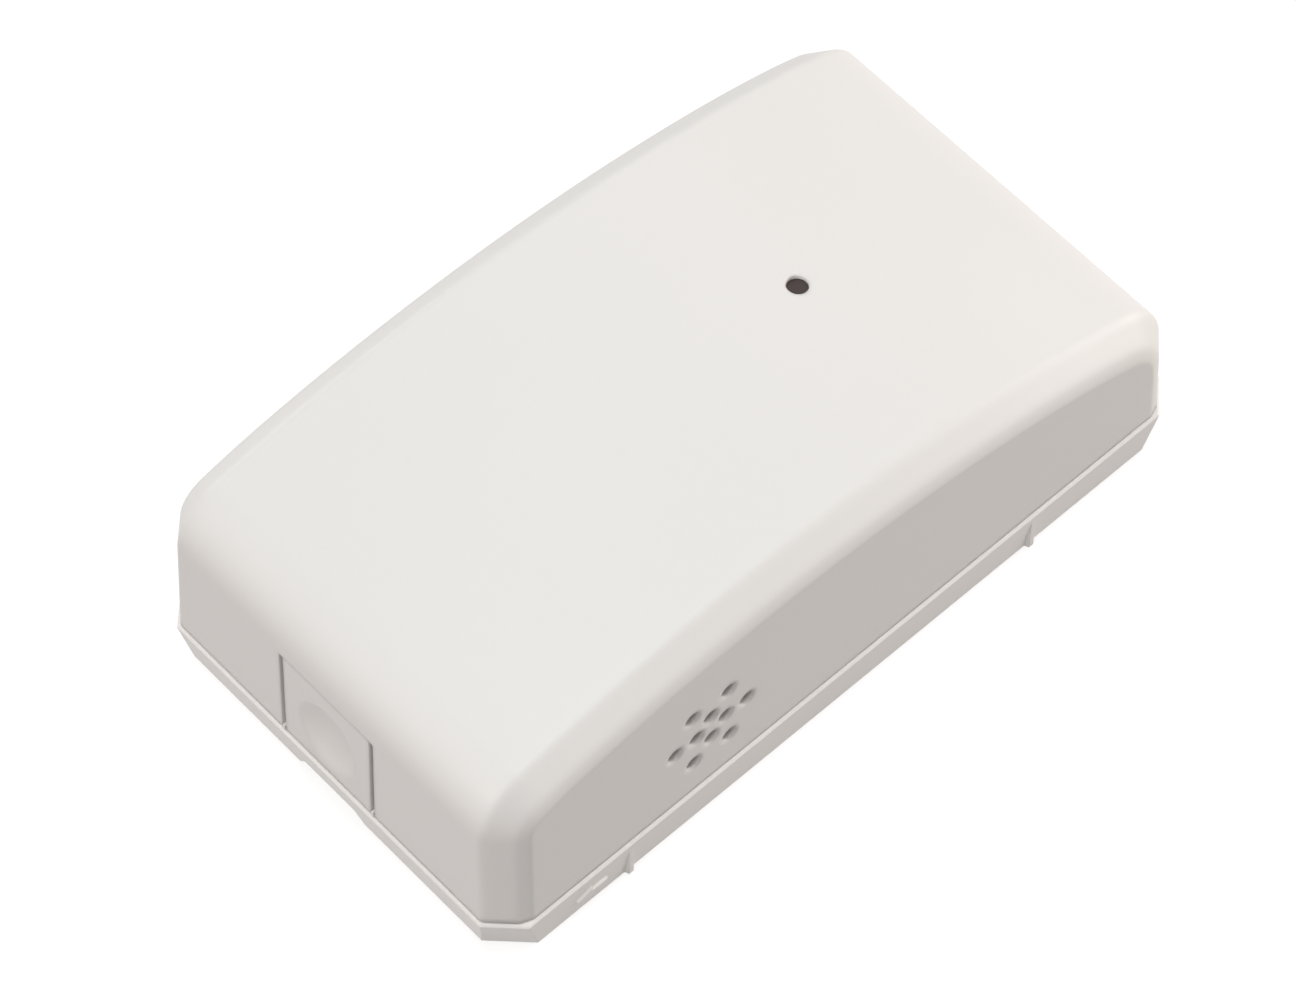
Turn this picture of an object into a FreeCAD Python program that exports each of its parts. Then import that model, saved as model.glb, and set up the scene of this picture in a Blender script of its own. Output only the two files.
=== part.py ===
import FreeCAD, Part
import math
import os
import Sketcher
from FreeCAD import Placement, Rotation, Vector

# Smoke alarm sound detector: a battery powered box that lies on its flat back.
# X runs along the length with the latch tab at -X, Y across with the sound holes at -Y, Z up.
# The origin is the middle of the back face.

doc = FreeCAD.newDocument("sound_detector")

# Driving dimensions in mm and degrees
SIZES = [
    ("cover_length", 97.6, "front cover at its lower edge, along X"),
    ("cover_width", 54.1, "front cover at its lower edge, along Y"),
    ("arch_top", 32.6, "height of the top at the apex of its arch"),
    ("arch_radius", 158.0, "radius of the arched top"),
    ("apex_x", -10.0, "place of the apex along X"),
    ("tab_roll", 7.2, "radius where the top rolls into the tab end"),
    ("far_roll", 9.0, "radius where the top rolls into the far end"),
    ("corner_chamfer", 3.3, "chamfer that runs up the corners and along the long edges"),
    ("side_draft", 2.0, "lean of the cover's walls in degrees"),
    ("wall", 2.0, "wall of the cover"),
    ("upper_edge", 0.22, "chamfer that breaks the upper edge of the cover's chamfer band"),
    ("lower_edge", 0.8, "chamfer that softens the lower edge of that band"),
    ("ledge_out", 0.4, "how far the base's ledge stands out from the cover"),
    ("rim_height", 6.45, "height of the ledge that the cover stands on"),
    ("rim_end_lean", 1.1, "how far the base's ends lean in towards the back"),
    ("rim_side_lean", 0.55, "how far the base's long sides lean in towards the back"),
    ("rim_corner_lean", 0.6, "how much more the legs of the base's corners grow towards the back"),
    ("back_round", 0.4, "rounding of the back's edges"),
    ("ledge_edge", 0.25, "chamfer on the ledge's outer edge"),
    ("seam_gap", 0.15, "gap between ledge and cover"),
    ("floor", 1.8, "floor of the base"),
    ("lip_height", 2.0, "locating lip above the ledge"),
    ("lip_wall", 1.2, "thickness of the locating lip"),
    ("lip_play", 0.2, "play between lip and cover"),
    ("rib_width", 1.3, "small upright ribs on the base's long sides"),
    ("rib_back", 0.1, "how far the ribs stay behind the ledge"),
    ("rib_tab_x", -31.4, "rib near the tab end"),
    ("rib_far_x", 26.8, "rib near the far end"),
    ("notch_width", 10.8, "notch in the back edge under the tab"),
    ("notch_y", 0.5, "place of that notch along Y"),
    ("notch_depth", 2.4, "height of that notch"),
    ("notch_slope", 1.5, "half of what the notch widens towards the back"),
    ("notch_reach", 1.0, "how far the notch goes in"),
    ("tab_width", 13.9, "latch tab between the middles of its slits"),
    ("slit_width", 0.55, "slits beside the tab"),
    ("slit_top", 21.2, "height of the upper ends of the slits"),
    ("dimple_height", 13.4, "height of the finger dimple's middle"),
    ("dimple_depth", 1.2, "depth of the finger dimple"),
    ("dimple_half_width", 4.3, "half width of the dimple at the surface"),
    ("dimple_half_height", 5.2, "half height of the dimple at the surface"),
    ("latch_width", 8.0, "catch arm behind the tab"),
    ("latch_wall", 1.4, "thickness of the catch arm"),
    ("latch_clear", 0.35, "gap between catch arm and base"),
    ("sound_x", -19.8, "middle of the sound holes along X"),
    ("sound_z", 16.1, "height of the middle of the sound holes"),
    ("sound_ring", 5.0, "radius of the six outer sound holes"),
    ("sound_core", 2.0, "radius of the four inner sound holes"),
    ("sound_hole", 2.1, "diameter of a sound hole"),
    ("sound_wall", 1.1, "wall left in front of the recess for the dust mesh"),
    ("mesh_radius", 6.7, "dust mesh behind the sound holes"),
    ("mesh_thick", 0.3, "thickness of the dust mesh"),
    ("mesh_play", 0.15, "play round the dust mesh in its recess"),
    ("led_x", 17.1, "place of the light along X"),
    ("pipe_diameter", 2.4, "stem of the light pipe"),
    ("pipe_play", 0.05, "radial play of the light pipe in its boss"),
    ("pipe_sink", 0.6, "light pipe's top under the surface"),
    ("pipe_boss", 5.2, "boss round the light pipe"),
    ("boss_foot", 19.0, "height of the foot of that boss"),
    ("pipe_head", 3.6, "head at the light pipe's lower end"),
    ("claw_y", 14.0, "claws at the far end, either side of the middle"),
    ("claw_width", 6.0, "width of a claw"),
    ("claw_inner", 2.9, "claw's inner radius about the swing axis"),
    ("claw_outer", 4.1, "claw's outer radius about the swing axis"),
    ("claw_play", 0.2, "play round the claws"),
    ("bar_inset", 2.2, "bar that the claws go round, from swing axis to its inner face"),
    ("claw_shank", 1.5, "thickness of a claw's shank"),
    ("board_end_gap", 7.8, "from the circuit board's end to the cover's end"),
    ("board_side_gap", 4.75, "from the circuit board's long side to the cover's side"),
    ("board_thick", 1.6, "thickness of the circuit board"),
    ("board_low", 5.5, "height of the board's underside"),
    ("board_corner", 2.5, "radius of the board's corners"),
    ("post_diameter", 5.0, "posts under the board"),
    ("post_end_gap", 7.0, "from a post's middle to the board's end"),
    ("post_side_gap", 3.9, "from a post's middle to the board's long side"),
    ("screw_core", 1.9, "pilot hole in a post"),
    ("screw_shank", 1.8, "shank of a board screw"),
    ("screw_head", 4.2, "head of a board screw"),
    ("screw_head_high", 1.4, "height of that head"),
    ("screw_long", 6.0, "length of a board screw under its head"),
    ("screw_hole", 2.3, "screw hole in the board"),
    ("mount_end_gap", 10.3, "from a wall screw hole's middle to the cover's end"),
    ("mount_hole", 4.2, "diameter of a wall screw hole"),
    ("mount_boss", 8.6, "boss round a wall screw hole"),
    ("mount_rise", 1.2, "height of that boss above the floor"),
    ("board_notch", 9.4, "width of the notch that clears a wall screw"),
    ("cell_diameter", 16.8, "lithium cell"),
    ("cell_long", 34.2, "length of the cell with its button"),
    ("button_diameter", 6.4, "positive button of the cell"),
    ("button_high", 1.2, "height of that button"),
    ("cell_round", 0.8, "rounding of the cell's can"),
    ("cell_x", -4.7, "middle of the cell along X"),
    ("cell_y", 11.2, "middle of the cell along Y"),
    ("holder_floor", 1.4, "floor of the cell holder"),
    ("holder_wall", 1.3, "walls of the cell holder"),
    ("holder_high", 11.5, "height of the cell holder"),
    ("holder_play", 0.2, "play between cell and holder"),
    ("leaf_thick", 0.4, "contact leaves"),
    ("leaf_width", 8.0, "width of a contact leaf"),
    ("leaf_room", 1.3, "room for a contact leaf at each end of the cell"),
    ("boot_radius", 7.2, "rubber boot round the microphone"),
    ("boot_gap", 3.2, "from the boot's front to the cover's side"),
    ("boot_long", 8.45, "length of the boot"),
    ("boot_foot", 11.0, "width of the boot's foot"),
    ("mic_diameter", 9.7, "microphone capsule"),
    ("mic_long", 6.4, "length of the capsule"),
    ("mic_sink", 2.45, "how far the capsule sits behind the boot's front"),
    ("mic_leg", 0.5, "thickness of a capsule's leg"),
    ("mic_leg_reach", 1.8, "how far the legs stand out behind the capsule"),
    ("mic_leg_drop", 2.0, "from the capsule's middle down to its legs"),
    ("mic_leg_pitch", 2.54, "distance between the legs"),
    ("horn_diameter", 12.0, "sound chamber in front of the capsule"),
    ("tamper_x", 28.5, "tamper switch along X"),
    ("tamper_y", -13.0, "tamper switch along Y"),
    ("learn_x", 9.0, "learn button along X"),
    ("learn_y", -17.5, "learn button along Y"),
    ("switch_side", 6.0, "square case of a push switch"),
    ("switch_high", 3.6, "height of that case"),
    ("stem_diameter", 3.2, "round stem of a push switch"),
    ("stem_long", 3.0, "length of a stem"),
    ("stem_sunk", 1.5, "part of a stem inside its case"),
    ("stem_play", 0.1, "radial play of a stem in its case"),
    ("post_clear", 0.1, "gap between the tamper stem and the cover's post"),
    ("tamper_post", 3.6, "diameter of the cover's tamper post"),
    ("grip_long", 16.0, "finger cut-out of the cell holder"),
    ("grip_deep", 3.5, "depth of that cut-out"),
    ("slot_lift", 1.5, "height above the holder's floor at which the leaf slots begin"),
    ("led_side", 3.0, "square case of the indicator light"),
    ("led_high", 1.3, "height of that case"),
    ("led_lens", 2.2, "lens of the indicator light"),
    ("led_lens_high", 0.5, "height of the lens"),
    ("pipe_gap", 0.6, "gap between lens and light pipe"),
    ("chip_side", 7.0, "square body of the microcontroller"),
    ("chip_high", 1.2, "height of that body"),
    ("chip_lift", 0.15, "gap under that body"),
    ("chip_x", 20.0, "microcontroller along X"),
    ("chip_y", -12.5, "microcontroller along Y"),
    ("leg_pitch", 0.8, "distance between the chip's legs"),
    ("leg_width", 0.35, "width of a leg"),
    ("leg_reach", 1.0, "how far a leg stands out"),
    ("leg_high", 0.3, "thickness of a leg"),
    ("shield_long", 13.0, "radio shield along X"),
    ("shield_wide", 12.4, "radio shield along Y"),
    ("shield_high", 2.6, "height of the radio shield"),
    ("shield_sheet", 0.3, "sheet metal of the shield"),
    ("shield_hole", 1.4, "tuning holes in the shield"),
    ("shield_x", 28.5, "radio shield's middle along X"),
    ("shield_y", 11.2, "radio shield's middle along Y"),
    ("crystal_straight", 6.0, "straight part of the crystal's can"),
    ("crystal_wide", 3.8, "width of the crystal's can"),
    ("crystal_high", 3.3, "height of the crystal's can"),
    ("crystal_rim", 0.4, "flange round the foot of the can"),
    ("crystal_rim_high", 0.5, "thickness of that flange"),
    ("crystal_x", 5.0, "crystal along X"),
    ("crystal_y", -3.6, "crystal along Y"),
    ("can_radius", 3.15, "electrolytic capacitor"),
    ("can_high", 7.2, "height of that capacitor"),
    ("can_groove", 0.3, "pressed groove of its can"),
    ("can_groove_low", 1.6, "height of the groove"),
    ("can_x", -1.5, "capacitor along X"),
    ("can_y", -13.0, "capacitor along Y"),
    ("wire_thick", 0.8, "antenna wire"),
    ("wire_from_end", 15.8, "from the foot of the wire to the cover's far end"),
    ("wire_to_end", 15.8, "from the tip of the wire to the cover's tab end"),
    ("wire_gap", 0.2, "from the cell holder to the wire"),
    ("wire_high", 13.5, "height of the wire's long run"),
    ("wire_bend", 2.0, "slope between the wire's rise and its long run"),
    ("chip_long", 1.6, "small chip parts along their length"),
    ("chip_wide", 0.8, "small chip parts across"),
    ("resistor_high", 0.45, "height of a chip resistor"),
    ("ceramic_high", 0.8, "height of a chip capacitor"),
    ("pin_pitch", 2.54, "distance between the header's pins"),
    ("pin_side", 0.64, "square pin"),
    ("pin_long", 8.3, "height of a pin above the board"),
    ("strip_high", 2.5, "moulded strip of the header"),
    ("header_x", -34.0, "header along X"),
    ("header_y", -9.5, "header along Y"),
    ("jumper_high", 6.6, "height of the jumper cap"),
    ("jumper_wide", 2.4, "width of the jumper cap"),
    ("jumper_roof", 0.7, "top of the jumper cap over its wells"),
    ("jumper_play", 0.08, "play round a pin in the jumper cap"),
]

sheet = doc.addObject("Spreadsheet::Sheet", "sizes")
for row, (alias, number, note) in enumerate(SIZES, start=1):
    sheet.set(f"A{row}", note)
    sheet.set(f"B{row}", str(number))
    sheet.setAlias(f"B{row}", alias)
doc.recompute()

# Expressions that several pieces share
SEAM = "(sizes.rim_height + sizes.seam_gap)"
LEAN = "tan(sizes.side_draft * 1 deg)"
BOARD_TOP = "(sizes.board_low + sizes.board_thick)"
SWING_X = "(sizes.cover_length / 2)"
DIAGONAL = "(2 - sqrt(2))"
RIM_LONG = "(sizes.cover_length + 2 * sizes.ledge_out)"
RIM_WIDE = "(sizes.cover_width + 2 * sizes.ledge_out)"
BOARD_LONG = "(sizes.cover_length - 2 * sizes.board_end_gap)"
BOARD_WIDE = "(sizes.cover_width - 2 * sizes.board_side_gap)"
POST_X = f"({BOARD_LONG} / 2 - sizes.post_end_gap)"
POST_Y = f"({BOARD_WIDE} / 2 - sizes.post_side_gap)"
MOUNT_X = "(sizes.cover_length / 2 - sizes.mount_end_gap)"
BOOT_FRONT = "(sizes.cover_width / 2 - sizes.boot_gap)"
BOOT_BACK = f"({BOOT_FRONT} - sizes.boot_long)"
MIC_FRONT = f"({BOOT_FRONT} - sizes.mic_sink)"


def value(expression):
    """The number that an expression on the sheet gives."""
    result = sheet.evalExpression(str(expression).replace("sizes.", ""))
    return float(getattr(result, "Value", result))


def top_at(x, depth="0"):
    """Height of the arched top at x, or of a surface that lies depth under it."""
    return (f"(sizes.arch_top - sizes.arch_radius + sqrt((sizes.arch_radius - {depth}) ^ 2"
            f" - ({x} - sizes.apex_x) ^ 2))")


def half_width(z, inset="0"):
    """Half the cover's width at height z, less an inset."""
    return f"(sizes.cover_width / 2 - {inset} - ({z} - {SEAM}) * {LEAN})"


def place(item, x="0", y="0", z="0"):
    """Binds an object's place to the sheet."""
    for axis, expression in zip("xyz", (x, y, z)):
        item.setExpression(f".Placement.Base.{axis}", str(expression))


def new_body(label):
    made = doc.addObject("PartDesign::Body", label)
    made.Label = label
    return made


def plane(owner, role):
    return next(f for f in owner.Origin.OriginFeatures if f.Role == role)


def attach(item, owner, role, offset="0", across="0", up="0"):
    """Puts a sketch or primitive on an origin plane, with offsets along the plane and its normal."""
    item.AttachmentSupport = [(plane(owner, role), "")]
    item.MapMode = "FlatFace"
    for axis, expression in zip("xyz", (across, up, offset)):
        if str(expression) != "0":
            item.setExpression(f".AttachmentOffset.Base.{axis}", str(expression))
    doc.recompute()


def new_sketch(owner, name, role, offset="0"):
    made = owner.newObject("Sketcher::SketchObject", name)
    attach(made, owner, role, offset)
    return made


def pin_point(sketch, geometry, position, x, y):
    """Dimensions one point of a sketch from the origin, each bound to the sheet."""
    for kind, axis, expression in (("DistanceX", -2, x), ("DistanceY", -1, y)):
        if str(expression) == "0":
            sketch.addConstraint(Sketcher.Constraint("PointOnObject", geometry, position, axis))
            continue
        index = sketch.addConstraint(
            Sketcher.Constraint(kind, -1, 1, geometry, position, value(expression)))
        sketch.setExpression(f"Constraints[{index}]", str(expression))


def size_constraint(sketch, kind, geometry, expression):
    index = sketch.addConstraint(Sketcher.Constraint(kind, geometry, value(expression)))
    sketch.setExpression(f"Constraints[{index}]", expression)


def polygon(sketch, points):
    """A closed outline of straight lines through points given as pairs of expressions."""
    corners = [Vector(value(x), value(y), 0) for x, y in points]
    first = sketch.GeometryCount
    count = len(points)
    for n in range(count):
        sketch.addGeometry(Part.LineSegment(corners[n], corners[(n + 1) % count]))
    for n in range(count):
        following = first + (n + 1) % count
        sketch.addConstraint(Sketcher.Constraint("Coincident", first + n, 2, following, 1))
    for n, (x, y) in enumerate(points):
        pin_point(sketch, first + n, 1, x, y)


def rectangle(sketch, x, y, length, width):
    """A rectangle about the point x, y."""
    left, right = f"{x} - {length} / 2", f"{x} + {length} / 2"
    low, high = f"{y} - {width} / 2", f"{y} + {width} / 2"
    polygon(sketch, [(left, low), (right, low), (right, high), (left, high)])


def octagon(sketch, half_x, half_y, leg):
    """A rectangle with its four corners cut off, about the origin."""
    points = []
    for sx, sy in ((1, 1), (-1, 1), (-1, -1), (1, -1)):
        on_end = (f"{sx} * {half_x}", f"{sy} * ({half_y} - {leg})")
        on_side = (f"{sx} * ({half_x} - {leg})", f"{sy} * {half_y}")
        points += [on_end, on_side] if sx * sy > 0 else [on_side, on_end]
    polygon(sketch, points)


def circle(sketch, x, y, diameter):
    radius = f"{diameter} / 2"
    index = sketch.addGeometry(
        Part.Circle(Vector(value(x), value(y), 0), Vector(0, 0, 1), value(radius)))
    pin_point(sketch, index, 3, x, y)
    size_constraint(sketch, "Radius", index, radius)


def pad(owner, sketch, length, symmetric=False, reverse=False):
    """Adds material over a sketch."""
    made = owner.newObject("PartDesign::Pad", sketch.Name + "_pad")
    made.Profile = sketch
    made.SideType = "Symmetric" if symmetric else "One side"
    made.Reversed = reverse
    made.setExpression("Length", str(length))
    doc.recompute()
    return made


def pocket(owner, sketch, length=None, symmetric=False, reverse=False):
    """Takes material away under a sketch, and checks that some went."""
    before = owner.Shape.Volume
    made = owner.newObject("PartDesign::Pocket", sketch.Name + "_cut")
    made.Profile = sketch
    made.SideType = "Symmetric" if symmetric else "One side"
    made.Reversed = reverse
    if length is None:
        made.Type = "ThroughAll"
    else:
        made.setExpression("Length", str(length))
    doc.recompute()
    if not owner.Shape.Volume < before - 1e-6:
        raise RuntimeError(made.Name + " cuts nothing")
    return made


def edges_where(feature, test):
    """Names of the feature's edges whose sampled points all pass a test."""
    names = []
    for number, edge in enumerate(feature.Shape.Edges, start=1):
        points = [edge.valueAt(edge.FirstParameter + share * (edge.LastParameter - edge.FirstParameter))
                  for share in (0.0, 0.35, 0.7, 1.0)]
        if all(test(p) for p in points):
            names.append(f"Edge{number}")
    return names


def dress(owner, kind, feature, names, size):
    """A chamfer or fillet on named edges of the last feature."""
    made = owner.newObject("PartDesign::" + kind, feature.Name + "_" + kind.lower())
    made.Base = (feature, names)
    made.setExpression("Size" if kind == "Chamfer" else "Radius", size)
    doc.recompute()
    return made


def mirror(owner, feature, role):
    """Repeats a feature on the other side of an origin plane."""
    made = owner.newObject("PartDesign::Mirrored", feature.Name + "_mirror")
    made.Originals = [feature]
    made.MirrorPlane = (plane(owner, role), [""])
    owner.Tip = made
    doc.recompute()
    return made


# Front cover

def roll_centre(side, roll, arch, inset, low):
    """Centre of the arc that joins an end wall to the arch, and the angles where it meets them."""
    lean = math.radians(value("sizes.side_draft"))
    normal = Vector(side * math.cos(lean), math.sin(lean), 0)
    along = Vector(-side * math.sin(lean), math.cos(lean), 0)
    foot = Vector(side * (value("sizes.cover_length") / 2 - inset), low, 0)
    hub = Vector(value("sizes.apex_x"), value("sizes.arch_top - sizes.arch_radius"), 0)
    start = foot - normal * roll
    reach = (start - hub).dot(along)
    rest = (start - hub).dot(start - hub) - (arch - roll) ** 2
    centre = start + along * (math.sqrt(reach * reach - rest) - reach)
    to_arch = math.atan2(centre.y - hub.y, centre.x - hub.x)
    to_wall = math.atan2(normal.y, normal.x)
    return centre, to_arch, to_wall


def side_profile(owner, name, inset, drop):
    """Side view of the cover: two leaning ends, two rolls and the arch, less an inset."""
    sketch = new_sketch(owner, name, "XZ_Plane")
    depth = value(inset)
    tab_roll = value("sizes.tab_roll") - depth
    far_roll = value("sizes.far_roll") - depth
    arch = value("sizes.arch_radius") - depth
    low = value(SEAM)
    hub = Vector(value("sizes.apex_x"), value("sizes.arch_top - sizes.arch_radius"), 0)
    tab_hub, tab_arch, tab_wall = roll_centre(-1, tab_roll, arch, depth, low)
    far_hub, far_arch, far_wall = roll_centre(1, far_roll, arch, depth, low)
    up = Vector(0, 0, 1)

    def on(centre, radius, angle):
        return centre + Vector(math.cos(angle), math.sin(angle), 0) * radius

    half = f"(sizes.cover_length / 2 - {inset} + {drop} * {LEAN})"
    foot = f"({SEAM} - {drop})"
    tab_foot = Vector(-value(half), value(foot), 0)
    far_foot = Vector(value(half), value(foot), 0)
    tab_line = sketch.addGeometry(Part.LineSegment(tab_foot, on(tab_hub, tab_roll, tab_wall)))
    tab_arc = sketch.addGeometry(
        Part.ArcOfCircle(Part.Circle(tab_hub, up, tab_roll), tab_arch, tab_wall))
    arch_arc = sketch.addGeometry(
        Part.ArcOfCircle(Part.Circle(hub, up, arch), far_arch, tab_arch))
    far_arc = sketch.addGeometry(
        Part.ArcOfCircle(Part.Circle(far_hub, up, far_roll), far_wall, far_arch))
    far_line = sketch.addGeometry(Part.LineSegment(far_foot, on(far_hub, far_roll, far_wall)))
    base_line = sketch.addGeometry(Part.LineSegment(tab_foot, far_foot))
    for joint in ((tab_line, 2, tab_arc, 2), (tab_arc, 1, arch_arc, 2),
                  (arch_arc, 1, far_arc, 2), (far_arc, 1, far_line, 2)):
        sketch.addConstraint(Sketcher.Constraint("Tangent", *joint))
    sketch.addConstraint(Sketcher.Constraint("Coincident", tab_line, 1, base_line, 1))
    sketch.addConstraint(Sketcher.Constraint("Coincident", far_line, 1, base_line, 2))
    pin_point(sketch, tab_line, 1, "-" + half, foot)
    pin_point(sketch, far_line, 1, half, foot)
    pin_point(sketch, arch_arc, 3, "sizes.apex_x", "sizes.arch_top - sizes.arch_radius")
    size_constraint(sketch, "Radius", tab_arc, f"sizes.tab_roll - {inset}")
    size_constraint(sketch, "Radius", arch_arc, f"sizes.arch_radius - {inset}")
    size_constraint(sketch, "Radius", far_arc, f"sizes.far_roll - {inset}")
    for line, lean in ((tab_line, "90 - sizes.side_draft"), (far_line, "90 + sizes.side_draft")):
        index = sketch.addConstraint(Sketcher.Constraint("Angle", line, math.radians(value(lean))))
        sketch.setExpression(f"Constraints[{index}]", f"({lean}) * 1 deg")
    doc.recompute()
    return sketch


def cover_block(owner, tag, inset="0", drop="0"):
    """The cover's solid form: side profile, leaning long sides, and one chamfer all round."""
    spare = 4
    profile = side_profile(owner, tag + "_profile", inset, drop)
    pad(owner, profile, f"sizes.cover_width + 2 * {spare}", symmetric=True)
    sides = new_sketch(owner, tag + "_sides", "YZ_Plane")
    low, high = f"({SEAM} - {spare})", f"(sizes.arch_top + {spare})"
    outer = f"(sizes.cover_width / 2 + 2 * {spare})"
    for side in (1, -1):
        polygon(sides, [(f"{side} * {half_width(low, inset)}", low), (f"{side} * {outer}", low),
                        (f"{side} * {outer}", high), (f"{side} * {half_width(high, inset)}", high)])
    trimmed = pocket(owner, sides, symmetric=True)
    foot = value(f"{SEAM} - {drop}")

    def on_long_edge(p):
        return abs(abs(p.y) - value(half_width(str(p.z), inset))) < 1e-4

    lower = set(edges_where(trimmed, lambda p: abs(p.z - foot) < 1e-5))
    chain = [name for name in edges_where(trimmed, on_long_edge) if name not in lower]
    dress(owner, "Chamfer", trimmed, chain, f"sizes.corner_chamfer - {inset} * {DIAGONAL}")


def front_cover():
    cavity = new_body("cover_cavity")
    cover_block(cavity, "cavity", inset="sizes.wall", drop="1")
    cover = new_body("front_cover")
    cover_block(cover, "shell")
    band = cover.Tip
    soften_band(cover, band)
    hollow = cover.newObject("PartDesign::Boolean", "hollow")
    hollow.Type = "Cut"
    hollow.setObjects([cavity])
    doc.recompute()
    light_window(cover)
    tamper_column(cover)
    claws(cover)
    latch_arm(cover)
    sound_holes(cover)
    tab_slits(cover)
    return cover


def soften_band(cover, band):
    """Breaks the crisp upper edge of the chamfer band a little, and its lower edge more."""
    foot = value(SEAM)
    leg = value("sizes.corner_chamfer")

    def along(feature, name):
        """True for edges that run along the band, not across it."""
        edge = feature.Shape.getElement(name)
        first, last = edge.Vertexes[0].Point, edge.Vertexes[-1].Point
        return abs(first.y - last.y) < leg * 0.6

    def outer(p):
        return abs(p.y) > value(half_width(str(p.z))) - 1e-3

    rim = edges_where(band, lambda p: abs(p.z - foot) < 1e-5)
    lower = [name for name in edges_where(band, outer) if along(band, name) and name not in rim]
    first = dress(cover, "Chamfer", band, lower, "sizes.lower_edge")

    def inner(p):
        return abs(abs(p.y) - value(half_width(str(p.z))) + leg) < leg * 0.2

    names = [name for name in edges_where(first, inner) if along(first, name)]
    dress(cover, "Chamfer", first, names, "sizes.upper_edge")


def light_window(cover):
    """Boss and bore for the light pipe."""
    boss = new_sketch(cover, "boss", "XY_Plane", "sizes.boss_foot")
    circle(boss, "sizes.led_x", "0", "sizes.pipe_boss")
    pad(cover, boss, f"{top_at('sizes.led_x', 'sizes.wall / 2')} - sizes.boss_foot")
    bore = new_sketch(cover, "bore", "XY_Plane", "sizes.arch_top")
    circle(bore, "sizes.led_x", "0", "(sizes.pipe_diameter + 2 * sizes.pipe_play)")
    pocket(cover, bore)


def tamper_column(cover):
    """Post that holds the tamper stem down while the cover is shut."""
    foot = f"({BOARD_TOP} + sizes.switch_high + sizes.stem_long - sizes.stem_sunk + sizes.post_clear)"
    post = new_sketch(cover, "post", "XY_Plane", foot)
    circle(post, "sizes.tamper_x", "sizes.tamper_y", "sizes.tamper_post")
    pad(cover, post, f"{top_at('sizes.tamper_x', 'sizes.wall / 2')} - {foot}")


def swing_point(radius, degrees_from_down):
    """A point about the swing axis, measured from straight down towards the tab end."""
    angle = math.radians(degrees_from_down)
    return (f"({SWING_X} - {radius} * {math.sin(angle):.9f})",
            f"({SEAM} - {radius} * {math.cos(angle):.9f})")


def sector(sketch, inner, outer, tip_angle, root):
    """A hook outline: an arc-shaped claw about the swing axis that runs into an upright shank."""
    shank_out, shank_in, shank_top = root
    hub = Vector(value(SWING_X), value(SEAM), 0)
    up = Vector(0, 0, 1)

    def meet(radius, x):
        """Where a circle about the swing axis crosses the upright line at x."""
        return f"({SEAM} - sqrt(({radius}) ^ 2 - ({SWING_X} - {x}) ^ 2))"

    inner_meet = (shank_out, meet(inner, shank_out))
    outer_meet = (shank_in, meet(outer, shank_in))
    inner_tip = swing_point(f"({inner})", tip_angle)
    outer_tip = swing_point(f"({outer})", tip_angle)

    def spot(pair):
        return Vector(value(pair[0]), value(pair[1]), 0)

    def arc(radius, start, end):
        first = math.atan2(spot(start).y - hub.y, spot(start).x - hub.x)
        last = math.atan2(spot(end).y - hub.y, spot(end).x - hub.x)
        return sketch.addGeometry(
            Part.ArcOfCircle(Part.Circle(hub, up, value(radius)), first, last))

    corner_out = (shank_out, shank_top)
    corner_in = (shank_in, shank_top)
    inner_arc = arc(inner, inner_meet, inner_tip)
    outer_arc = arc(outer, outer_meet, outer_tip)
    tip = sketch.addGeometry(Part.LineSegment(spot(inner_tip), spot(outer_tip)))
    down = sketch.addGeometry(Part.LineSegment(spot(corner_in), spot(outer_meet)))
    across = sketch.addGeometry(Part.LineSegment(spot(corner_out), spot(corner_in)))
    rise = sketch.addGeometry(Part.LineSegment(spot(inner_meet), spot(corner_out)))
    for pair in ((inner_arc, 2, tip, 1), (tip, 2, outer_arc, 2), (outer_arc, 1, down, 2),
                 (down, 1, across, 2), (across, 1, rise, 2), (rise, 1, inner_arc, 1)):
        sketch.addConstraint(Sketcher.Constraint("Coincident", *pair))
    sketch.addConstraint(Sketcher.Constraint("Coincident", inner_arc, 3, outer_arc, 3))
    pin_point(sketch, inner_arc, 3, SWING_X, SEAM)
    size_constraint(sketch, "Radius", inner_arc, inner)
    size_constraint(sketch, "Radius", outer_arc, outer)
    pin_point(sketch, across, 1, shank_out, shank_top)
    pin_point(sketch, across, 2, shank_in, shank_top)
    sketch.addConstraint(Sketcher.Constraint("Vertical", rise))
    sketch.addConstraint(Sketcher.Constraint("Vertical", down))
    angle = math.radians(-90 - tip_angle)
    sketch.addConstraint(Sketcher.Constraint("Angle", tip, angle))
    tip_x = sketch.addConstraint(
        Sketcher.Constraint("DistanceX", -1, 1, tip, 1, value(inner_tip[0])))
    sketch.setExpression(f"Constraints[{tip_x}]", inner_tip[0])
    doc.recompute()


CLAW_TIP = 20.0
CLAW_OUT = f"({SWING_X} - sizes.bar_inset - sizes.claw_play)"
CLAW_IN = f"({CLAW_OUT} - sizes.claw_shank)"


def claws(cover):
    """Two claws at the far end, which turn round the base's bar as the cover swings."""
    shoulder = f"({SEAM} + sizes.lip_height + 1.2)"
    claw = new_sketch(cover, "claw", "XZ_Plane", "-sizes.claw_y")
    sector(claw, "sizes.claw_inner", "sizes.claw_outer", CLAW_TIP, (CLAW_OUT, CLAW_IN, shoulder))
    first = pad(cover, claw, "sizes.claw_width", symmetric=True)
    mirror(cover, first, "XZ_Plane")
    root = new_sketch(cover, "claw_root", "XZ_Plane", "-sizes.claw_y")
    reach = f"({SWING_X} - sizes.wall / 2)"
    low = f"({SEAM} + sizes.lip_height + 0.3)"
    high = f"({shoulder} + 3)"
    polygon(root, [(CLAW_IN, low), (reach, low), (reach, high), (CLAW_IN, shoulder)])
    second = pad(cover, root, "sizes.claw_width", symmetric=True)
    mirror(cover, second, "XZ_Plane")


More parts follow.
